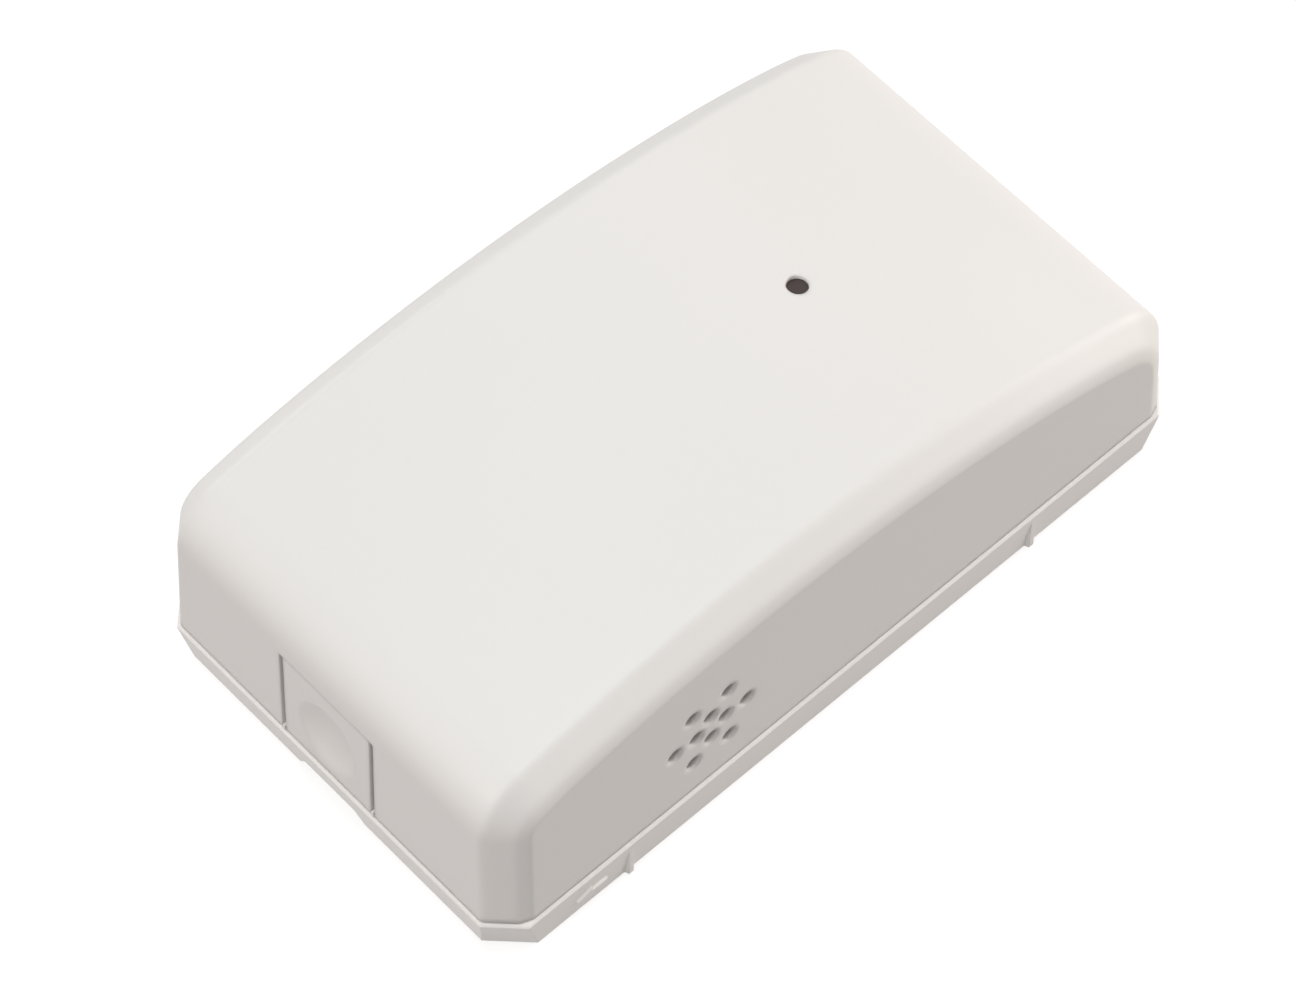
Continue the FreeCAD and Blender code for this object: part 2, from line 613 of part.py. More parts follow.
def latch_arm(cover):
    """Arm behind the tab: pressing the tab in moves its barb away from the base's catch."""
    wall_in = "(-sizes.cover_length / 2 + sizes.wall)"
    out = f"({wall_in} + sizes.lip_play + sizes.lip_wall + sizes.latch_clear)"
    back = f"({out} + sizes.latch_wall)"
    top = f"({SEAM} + sizes.lip_height + 4.5)"
    shelf = f"({SEAM} + sizes.lip_height + 0.6)"
    foot = "(sizes.floor + 0.8)"
    arm = new_sketch(cover, "arm", "XZ_Plane")
    polygon(arm, [(f"{wall_in} - sizes.wall / 2", shelf), (f"{out}", shelf), (out, f"{foot} + 1.6"),
                  (f"{out} - 0.1", f"{foot} + 1.4"), (f"{out} + 0.3", foot), (back, foot),
                  (back, shelf), (f"{wall_in} - sizes.wall / 2", top)])
    pad(cover, arm, "sizes.latch_width", symmetric=True)


def leaning_sketch(owner, name, depth):
    """A sketch about the sound holes' middle, parallel to the long wall and this deep in it."""
    made = owner.newObject("Sketcher::SketchObject", name)
    made.AttachmentOffset = Placement(Vector(), Rotation(Vector(1, 0, 0), -value("sizes.side_draft")))
    attach(made, owner, "XZ_Plane", f"({half_width('sizes.sound_z')} - ({depth}))",
           "sizes.sound_x", f"sizes.sound_z - ({depth}) * {LEAN}")
    return made


def sound_holes(cover):
    """Four holes in a diamond inside six in a hexagon, through the long wall, and a recess behind."""
    holes = leaning_sketch(cover, "sound", "-1")
    for count, ring in ((6, "sizes.sound_ring"), (4, "sizes.sound_core")):
        for n in range(count):
            angle = 2 * math.pi * n / count
            circle(holes, f"{math.cos(angle):.9f} * {ring}", f"{math.sin(angle):.9f} * {ring}",
                   "sizes.sound_hole")
    pocket(cover, holes, "1 + 2 * sizes.wall")
    recess = leaning_sketch(cover, "mesh_recess", "sizes.sound_wall")
    circle(recess, "0", "0", "2 * (sizes.mesh_radius + sizes.mesh_play)")
    pocket(cover, recess, "2 * sizes.wall")


def tab_slits(cover):
    """Slits, finger dimple and fold line of the latch tab, which stays one piece with the cover."""
    slits = new_sketch(cover, "slits", "YZ_Plane", "-(sizes.cover_length / 2 + 1)")
    for side in (-1, 1):
        rectangle(slits, f"{side} * sizes.tab_width / 2", f"(sizes.slit_top + {SEAM} - 1) / 2",
                  "sizes.slit_width", f"(sizes.slit_top - {SEAM} + 1)")
    cut = pocket(cover, slits, "1 + 2 * sizes.wall", reverse=True)
    top = value("sizes.slit_top")

    def at_slit_top(p):
        aside = abs(abs(p.y) - value("sizes.tab_width / 2"))
        return abs(p.z - top) < 1e-4 and aside > value("sizes.slit_width") * 0.45 and aside < 1

    dress(cover, "Fillet", cut, edges_where(cut, at_slit_top), "sizes.slit_width * 0.45")
    dimple = cover.newObject("PartDesign::SubtractiveEllipsoid", "dimple")
    reach = "(sizes.dimple_depth * 2.8)"
    spread = "sqrt(1 - (1 - 1 / 2.8) ^ 2)"
    dimple.setExpression("Radius2", reach)
    dimple.setExpression("Radius3", f"sizes.dimple_half_width / {spread}")
    dimple.setExpression("Radius1", f"sizes.dimple_half_height / {spread}")
    face = f"(-sizes.cover_length / 2 + (sizes.dimple_height - {SEAM}) * {LEAN})"
    attach(dimple, cover, "XY_Plane", "sizes.dimple_height",
           f"{face} - {reach} + sizes.dimple_depth")
    fold = new_sketch(cover, "fold", "XZ_Plane")
    face = f"(-sizes.cover_length / 2 + (sizes.slit_top - {SEAM}) * {LEAN})"
    polygon(fold, [(f"{face} - 0.5", "sizes.slit_top + 0.4"), (f"{face} - 0.5", "sizes.slit_top - 0.4"),
                   (f"{face} + 0.12", "sizes.slit_top")])
    pocket(cover, fold, "(sizes.tab_width - sizes.slit_width)", symmetric=True)


# Base

def inset_leg(inset):
    """Corner leg of an outline that lies inside the cover's outline by an inset."""
    return f"(sizes.corner_chamfer - ({inset}) * {DIAGONAL})"


def inset_octagon(sketch, inset):
    octagon(sketch, f"(sizes.cover_length / 2 - ({inset}))",
            f"(sizes.cover_width / 2 - ({inset}))", inset_leg(inset))


LIP_OUT = "(sizes.wall + sizes.lip_play)"
LIP_IN = f"({LIP_OUT} + sizes.lip_wall)"


def rim_section(base, number, z, inset):
    """Outline of the rim at height z, less an inset for its rounded or chamfered edges."""
    share = f"(1 - ({z}) / sizes.rim_height)"
    end_in = f"(sizes.rim_end_lean * {share} + {inset})"
    side_in = f"(sizes.rim_side_lean * {share} + {inset})"
    section = new_sketch(base, f"rim_outline{number}", "XY_Plane", z)
    octagon(section, f"({RIM_LONG} / 2 - {end_in})", f"({RIM_WIDE} / 2 - {side_in})",
            f"(sizes.corner_chamfer + (sizes.ledge_out - {inset}) * {DIAGONAL}"
            f" + sizes.rim_corner_lean * {share})")
    return section


def base_plate():
    base = new_body("base_plate")
    middle = f"sizes.back_round * {1 - math.sqrt(0.5):.9f}"
    sections = [rim_section(base, 0, "0", "sizes.back_round"),
                rim_section(base, 1, middle, middle),
                rim_section(base, 2, "sizes.back_round", "0"),
                rim_section(base, 3, "(sizes.rim_height - sizes.ledge_edge)", "0"),
                rim_section(base, 4, "sizes.rim_height", "sizes.ledge_edge")]
    rim = base.newObject("PartDesign::AdditiveLoft", "rim")
    rim.Profile = sections[0]
    rim.Sections = sections[1:]
    rim.Ruled = True
    doc.recompute()
    lip = new_sketch(base, "lip", "XY_Plane", "sizes.rim_height")
    inset_octagon(lip, LIP_OUT)
    pad(base, lip, "sizes.lip_height")
    hollow = new_sketch(base, "hollow", "XY_Plane", "(sizes.rim_height + sizes.lip_height)")
    inset_octagon(hollow, LIP_IN)
    pocket(base, hollow, "(sizes.rim_height + sizes.lip_height - sizes.floor)")
    side_ribs(base)
    slit_nubs(base)
    back_notch(base)
    floor_posts(base)
    claw_pockets(base)
    catch_pocket(base)
    return base


def side_ribs(base):
    """Two small upright ribs on each long side, under the ledge."""
    tip = f"({RIM_WIDE} / 2 - sizes.rib_back)"
    root = f"({RIM_WIDE} / 2 - sizes.rim_side_lean - 0.2)"
    ribs = new_sketch(base, "ribs", "XY_Plane", "sizes.back_round / 2")
    for x in ("sizes.rib_tab_x", "sizes.rib_far_x"):
        polygon(ribs, [(f"{x} - sizes.rib_width / 2", f"-{root}"),
                       (f"{x} - sizes.rib_width / 4", f"-{tip}"),
                       (f"{x} + sizes.rib_width / 4", f"-{tip}"),
                       (f"{x} + sizes.rib_width / 2", f"-{root}")])
    first = pad(base, ribs, "(sizes.rim_height - sizes.back_round / 2 - sizes.ledge_edge - 0.1)")
    mirror(base, first, "XZ_Plane")


def slit_nubs(base):
    """Nubs on the ledge that stand in the lower ends of the slits."""
    nubs = new_sketch(base, "nubs", "XY_Plane", "(sizes.rim_height - 0.2)")
    for side in (-1, 1):
        rectangle(nubs, "(-sizes.cover_length / 2 + sizes.wall / 2 - 0.2)",
                  f"{side} * sizes.tab_width / 2", "(sizes.wall - 0.2)", "(sizes.slit_width - 0.2)")
    pad(base, nubs, "0.2 + sizes.seam_gap + 0.7")


def back_notch(base):
    """Sloping-ended notch in the back edge under the tab."""
    notch = new_sketch(base, "notch", "YZ_Plane", f"-({RIM_LONG} / 2 + 1)")
    wide = "(sizes.notch_width / 2 + sizes.notch_slope)"
    narrow = "(sizes.notch_width / 2 - sizes.notch_slope)"
    polygon(notch, [(f"sizes.notch_y - {wide}", "-1 * sizes.notch_depth"),
                    (f"sizes.notch_y + {wide}", "-1 * sizes.notch_depth"),
                    (f"sizes.notch_y + {narrow}", "sizes.notch_depth"),
                    (f"sizes.notch_y - {narrow}", "sizes.notch_depth")])
    pocket(base, notch, "(1 + sizes.rim_end_lean + sizes.notch_reach)", reverse=True)


def floor_posts(base):
    """Board posts with pilot holes, and bosses with through holes for the wall screws."""
    posts = new_sketch(base, "board_posts", "XY_Plane", "(sizes.floor - 0.2)")
    for sx in (-1, 1):
        for sy in (-1, 1):
            circle(posts, f"{sx} * {POST_X}", f"{sy} * {POST_Y}", "sizes.post_diameter")
    pad(base, posts, "(sizes.board_low - sizes.floor + 0.2)")
    bosses = new_sketch(base, "wall_bosses", "XY_Plane", "(sizes.floor - 0.2)")
    for side in (-1, 1):
        circle(bosses, f"{side} * {MOUNT_X}", "0", "sizes.mount_boss")
    pad(base, bosses, "(sizes.mount_rise + 0.2)")
    pilots = new_sketch(base, "pilot_holes", "XY_Plane", "sizes.board_low")
    for side in (-1, 1):
        circle(pilots, f"{side} * {POST_X}", f"{-side} * {POST_Y}", "sizes.screw_core")
    pocket(base, pilots, "(sizes.screw_long - sizes.board_thick + 0.3)")
    bores = new_sketch(base, "wall_holes", "XY_Plane", "(sizes.floor + sizes.mount_rise)")
    for side in (-1, 1):
        circle(bores, f"{side} * {MOUNT_X}", "0", "sizes.mount_hole")
    pocket(base, bores)


def claw_pockets(base):
    """Room for the claws in the far rim, which leaves a rounded bar for them to turn round."""
    width = "(sizes.claw_width + 2 * sizes.claw_play)"
    room = new_sketch(base, "claw_room", "XZ_Plane", "-sizes.claw_y")
    bar_face = f"({SWING_X} - sizes.bar_inset)"
    inside = f"({CLAW_IN} - sizes.claw_play)"
    sector(room, "(sizes.claw_inner - sizes.claw_play)", "(sizes.claw_outer + sizes.claw_play)",
           CLAW_TIP - 4, (bar_face, inside, f"({SEAM} + sizes.lip_height + 1)"))
    first = pocket(base, room, width, symmetric=True)
    mirror(base, first, "XZ_Plane")


def catch_pocket(base):
    """Gap in the lip behind the tab, and the catch that the latch arm stands over."""
    width = "(sizes.tab_width + 1.2)"
    gap = new_sketch(base, "lip_gap", "XZ_Plane")
    outer = f"(-sizes.cover_length / 2 + {LIP_OUT} - 0.05)"
    inner = f"(-sizes.cover_length / 2 + {LIP_IN} + 0.5)"
    above = "sizes.rim_height + sizes.lip_height + 1"
    polygon(gap, [(outer, "sizes.rim_height"), (inner, "sizes.rim_height"), (inner, above),
                  (outer, above)])
    pocket(base, gap, width, symmetric=True)
    recess = new_sketch(base, "catch", "XZ_Plane")
    face = f"(-sizes.cover_length / 2 + {LIP_IN})"
    polygon(recess, [(f"{face} - 1.1", "sizes.floor + 0.5"), (f"{face} + 0.5", "sizes.floor + 0.5"),
                     (f"{face} + 0.5", "sizes.floor + 2.6"), (f"{face} - 1.1", "sizes.floor + 2.2")])
    pocket(base, recess, "(sizes.latch_width + 1)", symmetric=True)


# Board and what it carries

def circuit_board():
    board = new_body("circuit_board")
    outline = new_sketch(board, "outline", "XY_Plane", "sizes.board_low")
    rectangle(outline, "0", "0", BOARD_LONG, BOARD_WIDE)
    slab = pad(board, outline, "sizes.board_thick")
    half_x, half_y = value(f"{BOARD_LONG} / 2"), value(f"{BOARD_WIDE} / 2")

    def corner(p):
        return abs(abs(p.x) - half_x) < 1e-6 and abs(abs(p.y) - half_y) < 1e-6

    dress(board, "Fillet", slab, edges_where(slab, corner), "sizes.board_corner")
    cuts = new_sketch(board, "board_cuts", "XY_Plane", BOARD_TOP)
    for side in (-1, 1):
        circle(cuts, f"{side} * {POST_X}", f"{-side} * {POST_Y}", "sizes.screw_hole")
        rectangle(cuts, f"{side} * {BOARD_LONG} / 2", "0",
                  f"({BOARD_LONG} - 2 * {MOUNT_X} + sizes.board_notch)", "sizes.board_notch")
    pocket(board, cuts)
    return board


def revolved(owner, name, x, y, points, axis_role, axis):
    """A body of revolution from an outline on a side plane."""
    outline = new_sketch(owner, name, axis_role)
    polygon(outline, points)
    turned = owner.newObject("PartDesign::Revolution", name + "_turn")
    turned.Profile = outline
    turned.ReferenceAxis = (outline, [axis])
    turned.Angle = 360
    doc.recompute()
    place(owner, x, y)
    return turned


HOLDER_LONG = "(sizes.cell_long + 2 * sizes.leaf_room + 2 * sizes.holder_wall)"
HOLDER_WIDE = "(sizes.cell_diameter + 2 * sizes.holder_play + 2 * sizes.holder_wall)"
CELL_Z = f"({BOARD_TOP} + sizes.holder_floor + sizes.holder_play + sizes.cell_diameter / 2)"
CELL_END = "(sizes.cell_long / 2)"


def battery_cell():
    """Lithium cell: a can with a rounded shoulder and a positive button at the tab end."""
    cell = new_body("battery_cell")
    radius = "sizes.cell_diameter / 2"
    button = "sizes.button_diameter / 2"
    shoulder = f"(-{CELL_END} + sizes.button_high)"
    points = [(f"-{CELL_END}", "0"), (f"-{CELL_END}", button), (shoulder, button),
              (shoulder, f"{radius} - sizes.cell_round"), (f"{shoulder} + sizes.cell_round", radius),
              (CELL_END, radius), (CELL_END, "0")]
    revolved(cell, "can", "sizes.cell_x", "sizes.cell_y", points, "XZ_Plane", "H_Axis")
    cell.setExpression(".Placement.Base.z", CELL_Z)
    return cell


def battery_holder():
    """Open cradle on the board, with a round trough, end walls and a finger cut-out each side."""
    holder = new_body("battery_holder")
    foot = new_sketch(holder, "cradle", "XY_Plane")
    rectangle(foot, "0", "0", HOLDER_LONG, HOLDER_WIDE)
    pad(holder, foot, "sizes.holder_high")
    trough = new_sketch(holder, "trough", "YZ_Plane")
    bore = "(sizes.cell_diameter + 2 * sizes.holder_play)"
    circle(trough, "0", f"({CELL_Z} - {BOARD_TOP})", bore)
    inner = f"({HOLDER_LONG} - 2 * sizes.holder_wall)"
    pocket(holder, trough, inner, symmetric=True)
    throat = new_sketch(holder, "throat", "YZ_Plane")
    rectangle(throat, "0", f"({CELL_Z} - {BOARD_TOP} + sizes.holder_high) / 2", bore,
              f"(sizes.holder_high - {CELL_Z} + {BOARD_TOP})")
    pocket(holder, throat, inner, symmetric=True)
    grip = new_sketch(holder, "finger_cuts", "XZ_Plane")
    rectangle(grip, "0", "sizes.holder_high", "sizes.grip_long", "(2 * sizes.grip_deep)")
    pocket(holder, grip, symmetric=True)
    leaf_slot = new_sketch(holder, "leaf_slots", "XY_Plane", "(sizes.holder_floor + sizes.slot_lift)")
    for side in (-1, 1):
        rectangle(leaf_slot, f"{side} * ({HOLDER_LONG} / 2 - sizes.holder_wall - sizes.leaf_room / 2)",
                  "0", "sizes.leaf_room", "sizes.leaf_width + 0.6")
    pocket(holder, leaf_slot, "(sizes.holder_floor + sizes.slot_lift + 0.5)")
    place(holder, "sizes.cell_x", "sizes.cell_y", BOARD_TOP)
    return holder


def contact(label, side):
    """Spring leaf at one end of the cell: a foot in the board, an upright and a bulge to the cell."""
    leaf = new_body(label)
    outline = new_sketch(leaf, label + "_leaf", "XZ_Plane")
    back = f"({HOLDER_LONG} / 2 - sizes.holder_wall - 0.05)"
    front = f"({back} - sizes.leaf_thick)"
    touch = CELL_END
    middle = f"({CELL_Z} - {BOARD_TOP})"
    points = [(front, "0"), (back, "0"), (back, f"{middle} - 3"),
              (f"{touch} + sizes.leaf_thick", middle), (back, f"{middle} + 2.4"),
              (f"{back} - 0.15", f"{middle} + 2.7"), (f"{front} - 0.1", f"{middle} + 2.4"),
              (touch, middle), (front, f"{middle} - 3")]
    if side < 0:
        points = [(f"-1 * ({x})", z) for x, z in reversed(points)]
    polygon(outline, points)
    pad(leaf, outline, "sizes.leaf_width", symmetric=True)
    place(leaf, "sizes.cell_x", "sizes.cell_y", BOARD_TOP)
    return leaf


def box(name, size, low=("0", "0", "0")):
    """A plain block with its low corner given."""
    made = doc.addObject("Part::Box", name)
    for side, expression in zip(("Length", "Width", "Height"), size):
        made.setExpression(side, str(expression))
    place(made, *low)
    return made


def rod(name, diameter, long, foot=("0", "0", "0"), turn=None):
    """A round bar that stands on its foot, or lies along an axis when turned."""
    made = doc.addObject("Part::Cylinder", name)
    made.setExpression("Radius", f"({diameter}) / 2")
    made.setExpression("Height", str(long))
    if turn:
        made.Placement = Placement(Vector(), Rotation(Vector(*turn[0]), turn[1]))
    place(made, *foot)
    return made


def fuse(label, pieces):
    made = doc.addObject("Part::MultiFuse", label)
    made.Label = label
    made.Shapes = pieces
    made.Refine = True
    return made


def cut(label, base, tool):
    made = doc.addObject("Part::Cut", label)
    made.Label = label
    made.Base = base
    made.Tool = tool
    return made


def group(label, pieces):
    """Separate like solids that share one node."""
    made = doc.addObject("Part::Compound", label)
    made.Label = label
    made.Links = pieces
    return made


ALONG_Y = ((1, 0, 0), -90)


def microphone_boot():
    """Rubber boot: a round cup that seals on the wall, on a foot that stands on the board."""
    cup = rod("boot_cup", "2 * sizes.boot_radius", "sizes.boot_long",
              ("sizes.sound_x", f"-{BOOT_FRONT}", "sizes.sound_z"), ALONG_Y)
    board_edge = f"(-{BOARD_WIDE} / 2 + 0.4)"
    foot = box("boot_foot_block", ("sizes.boot_foot", f"(-{BOOT_BACK} - {board_edge})",
                                   f"(sizes.sound_z - {BOARD_TOP})"),
               ("sizes.sound_x - sizes.boot_foot / 2", board_edge, BOARD_TOP))
    solid = fuse("boot_solid", [cup, foot])
    ahead = ("sizes.sound_x", f"-{BOOT_FRONT} - 1", "sizes.sound_z")
    bore = rod("boot_bore", "sizes.mic_diameter + 0.1", "sizes.boot_long + 2", ahead, ALONG_Y)
    horn = rod("boot_horn", "sizes.horn_diameter", "sizes.mic_sink + 1", ahead, ALONG_Y)
    return cut("microphone_boot", solid, fuse("boot_voids", [bore, horn]))


def microphone_capsule():
    """Electret capsule with two legs down to the board."""
    back = f"(-{MIC_FRONT} + sizes.mic_long)"
    can = rod("mic_can", "sizes.mic_diameter", "sizes.mic_long",
              ("sizes.sound_x", f"-{MIC_FRONT}", "sizes.sound_z"), ALONG_Y)
    pieces = [can]
    leg = "sizes.mic_leg"
    turn = "(sizes.sound_z - sizes.mic_leg_drop)"
    for side in (-1, 1):
        x = f"sizes.sound_x + {side} * sizes.mic_leg_pitch / 2 - {leg} / 2"
        pieces.append(box(f"mic_leg_out{len(pieces)}", (leg, "sizes.mic_leg_reach", leg),
                          (x, back, turn)))
        pieces.append(box(f"mic_leg_down{len(pieces)}", (leg, leg, f"({turn} - {BOARD_TOP})"),
                          (x, f"{back} + sizes.mic_leg_reach - {leg}", BOARD_TOP)))
    return fuse("microphone_capsule", pieces)


def push_switch(tag, x, y):
    """Case of a push switch, with four legs and a round well for its stem."""
    side = "sizes.switch_side"
    case = box(tag + "_case", (side, side, "sizes.switch_high"),
               (f"{x} - {side} / 2", f"{y} - {side} / 2", BOARD_TOP))
    pieces = [case]
    for sx in (-1, 1):
        for sy in (-1, 1):
            pieces.append(box(f"{tag}_leg{sx + 1}{sy + 1}", ("0.9", "1.0", "0.3"),
                              (f"{x} + {sx} * ({side} / 2 + 0.4) - 0.45",
                               f"{y} + {sy} * 2.25 - 0.5", BOARD_TOP)))
    block = fuse(tag + "_block", pieces)
    well = rod(tag + "_well", "sizes.stem_diameter + 2 * sizes.stem_play",
               "sizes.stem_sunk + 1.5",
               (x, y, f"{BOARD_TOP} + sizes.switch_high - sizes.stem_sunk - 0.5"))
    return cut(tag + "_switch_body", block, well)


def push_stem(label, x, y, travel):
    """Round stem that stands in a switch's well, with room under it for its travel."""
    return rod(label, "sizes.stem_diameter", f"(sizes.stem_long - {travel})",
               (x, y, f"({BOARD_TOP} + sizes.switch_high - sizes.stem_sunk + {travel})"))


def microcontroller():
    """Flat square chip with rows of legs on its four sides."""
    side, x, y = "sizes.chip_side", "sizes.chip_x", "sizes.chip_y"
    pieces = [box("chip_body", (side, side, "sizes.chip_high"),
                  (f"{x} - {side} / 2", f"{y} - {side} / 2", f"{BOARD_TOP} + sizes.chip_lift"))]
    across, out, high = "sizes.leg_width", "sizes.leg_reach", "sizes.leg_high"
    count = 8
    for n in range(count):
        shift = f"({n - (count - 1) / 2} * sizes.leg_pitch - {across} / 2)"
        for near in (f"(-{side} / 2 - {out})", f"({side} / 2)"):
            pieces.append(box(f"chip_leg{len(pieces)}", (out, across, high),
                              (f"{x} + {near}", f"{y} + {shift}", BOARD_TOP)))
            pieces.append(box(f"chip_leg{len(pieces)}", (across, out, high),
                              (f"{x} + {shift}", f"{y} + {near}", BOARD_TOP)))
    return fuse("microcontroller", pieces)


def radio_shield():
    """Folded metal can over the radio, open below, with one tuning hole."""
    long, wide, high = "sizes.shield_long", "sizes.shield_wide", "sizes.shield_high"
    sheet_metal, x, y = "sizes.shield_sheet", "sizes.shield_x", "sizes.shield_y"
    outer = box("can_outer", (long, wide, high),
                (f"{x} - {long} / 2", f"{y} - {wide} / 2", BOARD_TOP))
    inner = box("can_inner", (f"{long} - 2 * {sheet_metal}", f"{wide} - 2 * {sheet_metal}", high),
                (f"{x} - {long} / 2 + {sheet_metal}", f"{y} - {wide} / 2 + {sheet_metal}",
                 f"{BOARD_TOP} - {sheet_metal}"))
    hole = rod("can_hole", "sizes.shield_hole", "2",
               (f"{x} + {long} / 4", y, f"{BOARD_TOP} + {high} - 1"))
    return cut("radio_shield", outer, fuse("can_voids", [inner, hole]))


def crystal():
    """Quartz crystal: an oval can on a flange."""
    x, y, straight = "sizes.crystal_x", "sizes.crystal_y", "sizes.crystal_straight"
    width, high = "sizes.crystal_wide", "sizes.crystal_high"
    foot_width, foot_high = f"({width} + 2 * sizes.crystal_rim)", "sizes.crystal_rim_high"
    pieces = [box("crystal_middle", (straight, width, high),
                  (f"{x} - {straight} / 2", f"{y} - {width} / 2", BOARD_TOP)),
              box("crystal_flange", (straight, foot_width, foot_high),
                  (f"{x} - {straight} / 2", f"{y} - {foot_width} / 2", BOARD_TOP))]
    for side in (-1, 1):
        spot = (f"{x} + {side} * {straight} / 2", y, BOARD_TOP)
        pieces.append(rod(f"crystal_end{side + 1}", width, high, spot))
        pieces.append(rod(f"crystal_rim{side + 1}", foot_width, foot_high, spot))
    return fuse("crystal", pieces)


def electrolytic_capacitor():
    """Round can with a pressed groove near its foot."""
    can = new_body("electrolytic_capacitor")
    radius, high = "sizes.can_radius", "sizes.can_high"
    groove, low = "sizes.can_groove", "sizes.can_groove_low"
    points = [("0", "0"), (radius, "0"), (radius, low), (f"{radius} - {groove}", f"{low} + {groove}"),
              (radius, f"{low} + 2 * {groove}"), (radius, high), ("0", high)]
    revolved(can, "cap_can", "sizes.can_x", "sizes.can_y", points, "XZ_Plane", "V_Axis")
    can.setExpression(".Placement.Base.z", BOARD_TOP)
    return can


def indicator_led():
    """Surface mounted light with a round lens, right under the light pipe."""
    side = "sizes.led_side"
    case = box("led_case", (side, side, "sizes.led_high"),
               (f"sizes.led_x - {side} / 2", f"-{side} / 2", BOARD_TOP))
    dome = rod("led_lens", "sizes.led_lens", "sizes.led_lens_high",
               ("sizes.led_x", "0", f"{BOARD_TOP} + sizes.led_high"))
    return fuse("indicator_led", [case, dome])


def light_pipe():
    """Clear stem in the cover's boss, with a wider head over the indicator."""
    pipe = new_body("light_pipe")
    low = f"({BOARD_TOP} + sizes.led_high + sizes.led_lens_high + sizes.pipe_gap)"
    head = "sizes.pipe_head / 2"
    stem = "sizes.pipe_diameter / 2"
    top = f"({top_at('sizes.led_x')} - sizes.pipe_sink)"
    boss = "(sizes.boss_foot - 0.1)"
    points = [("0", low), (head, low), (head, boss), (stem, boss), (stem, top), ("0", top)]
    revolved(pipe, "pipe", "sizes.led_x", "0", points, "XZ_Plane", "V_Axis")
    return pipe


def dust_mesh():
    """Thin round mesh glued over the sound holes, on the leaning inner face of the wall."""
    mesh = doc.addObject("Part::Cylinder", "dust_mesh")
    mesh.Label = "dust_mesh"
    mesh.setExpression("Radius", "sizes.mesh_radius")
    mesh.setExpression("Height", "sizes.mesh_thick")
    mesh.Placement = Placement(Vector(), Rotation(Vector(1, 0, 0), -90 - value("sizes.side_draft")))
    depth = "(sizes.sound_wall + 0.02)"
    place(mesh, "sizes.sound_x", f"-({half_width('sizes.sound_z')} - {depth})",
          f"sizes.sound_z - {depth} * {LEAN}")
    return mesh


def antenna_wire():
    """Stiff wire that rises from the board and runs along the far long side."""
    wire = new_body("antenna_wire")
    start = "(sizes.cover_length / 2 - sizes.wire_from_end)"
    finish = "(-sizes.cover_length / 2 + sizes.wire_to_end)"
    y = f"(sizes.cell_y + {HOLDER_WIDE} / 2 + sizes.wire_gap + sizes.wire_thick / 2)"
    foot = new_sketch(wire, "wire_round", "XY_Plane", BOARD_TOP)
    circle(foot, start, y, "sizes.wire_thick")
    course = new_sketch(wire, "wire_course", "XZ_Plane", f"-{y}")
    corners = [(start, BOARD_TOP), (start, "(sizes.wire_high - sizes.wire_bend)"),
               (f"({start} - sizes.wire_bend)", "sizes.wire_high"), (finish, "sizes.wire_high")]
    for n in range(3):
        ends = [Vector(value(x), value(z), 0) for x, z in corners[n:n + 2]]
        course.addGeometry(Part.LineSegment(*ends))
        if n:
            course.addConstraint(Sketcher.Constraint("Coincident", n - 1, 2, n, 1))
        pin_point(course, n, 1, *corners[n])
    pin_point(course, 2, 2, *corners[3])
    run = wire.newObject("PartDesign::AdditivePipe", "wire_run")
    run.Profile = foot
    run.Spine = (course, ["Edge1", "Edge2", "Edge3"])
    run.Transition = "Right corner"
    doc.recompute()
    return wire


def chip_parts(label, high, spots):
    """Small surface mounted parts, each given by its place and whether it is turned."""
    pieces = []
    long, wide = "sizes.chip_long", "sizes.chip_wide"
    for n, (x, y, turned) in enumerate(spots):
        size = (wide, long, high) if turned else (long, wide, high)
        pieces.append(box(f"{label}_{n}", size,
                          (f"{x} - {size[0]} / 2", f"{y} - {size[1]} / 2", BOARD_TOP)))
    return group(label, pieces)


def chip_resistors():
    row = [(12.5 + 2.2 * n, -5.2, True) for n in range(6)]
    column = [(14.0, -9.5 - 2.0 * n, False) for n in range(4)]
    by_radio = [(18.5, 4.0 + 2.1 * n, False) for n in range(4)]
    return chip_parts("chip_resistors", "sizes.resistor_high", row + column + by_radio)


def chip_capacitors():
    row = [(-33.0 + 2.4 * n, -19.5, True) for n in range(2)]
    column = [(3.8, -8.5 - 2.0 * n, False) for n in range(4)]
    by_mic = [(-9.5, -11.5 - 2.0 * n, False) for n in range(3)]
    return chip_parts("chip_capacitors", "sizes.ceramic_high", row + column + by_mic)


def jumper_header():
    """Three gold pins in a moulded strip."""
    pitch, x, y, pin = "sizes.pin_pitch", "sizes.header_x", "sizes.header_y", "sizes.pin_side"
    count = 3
    strip = box("header_strip", (pitch, f"{count} * {pitch}", "sizes.strip_high"),
                (f"{x} - {pitch} / 2", f"{y} - {count} * {pitch} / 2", BOARD_TOP))
    pieces = [strip]
    for n in range(count):
        pieces.append(box(f"header_pin{n}", (pin, pin, "sizes.pin_long"),
                          (f"{x} - {pin} / 2", f"{y} + {n - 1} * {pitch} - {pin} / 2", BOARD_TOP)))
    return fuse("jumper_header", pieces)


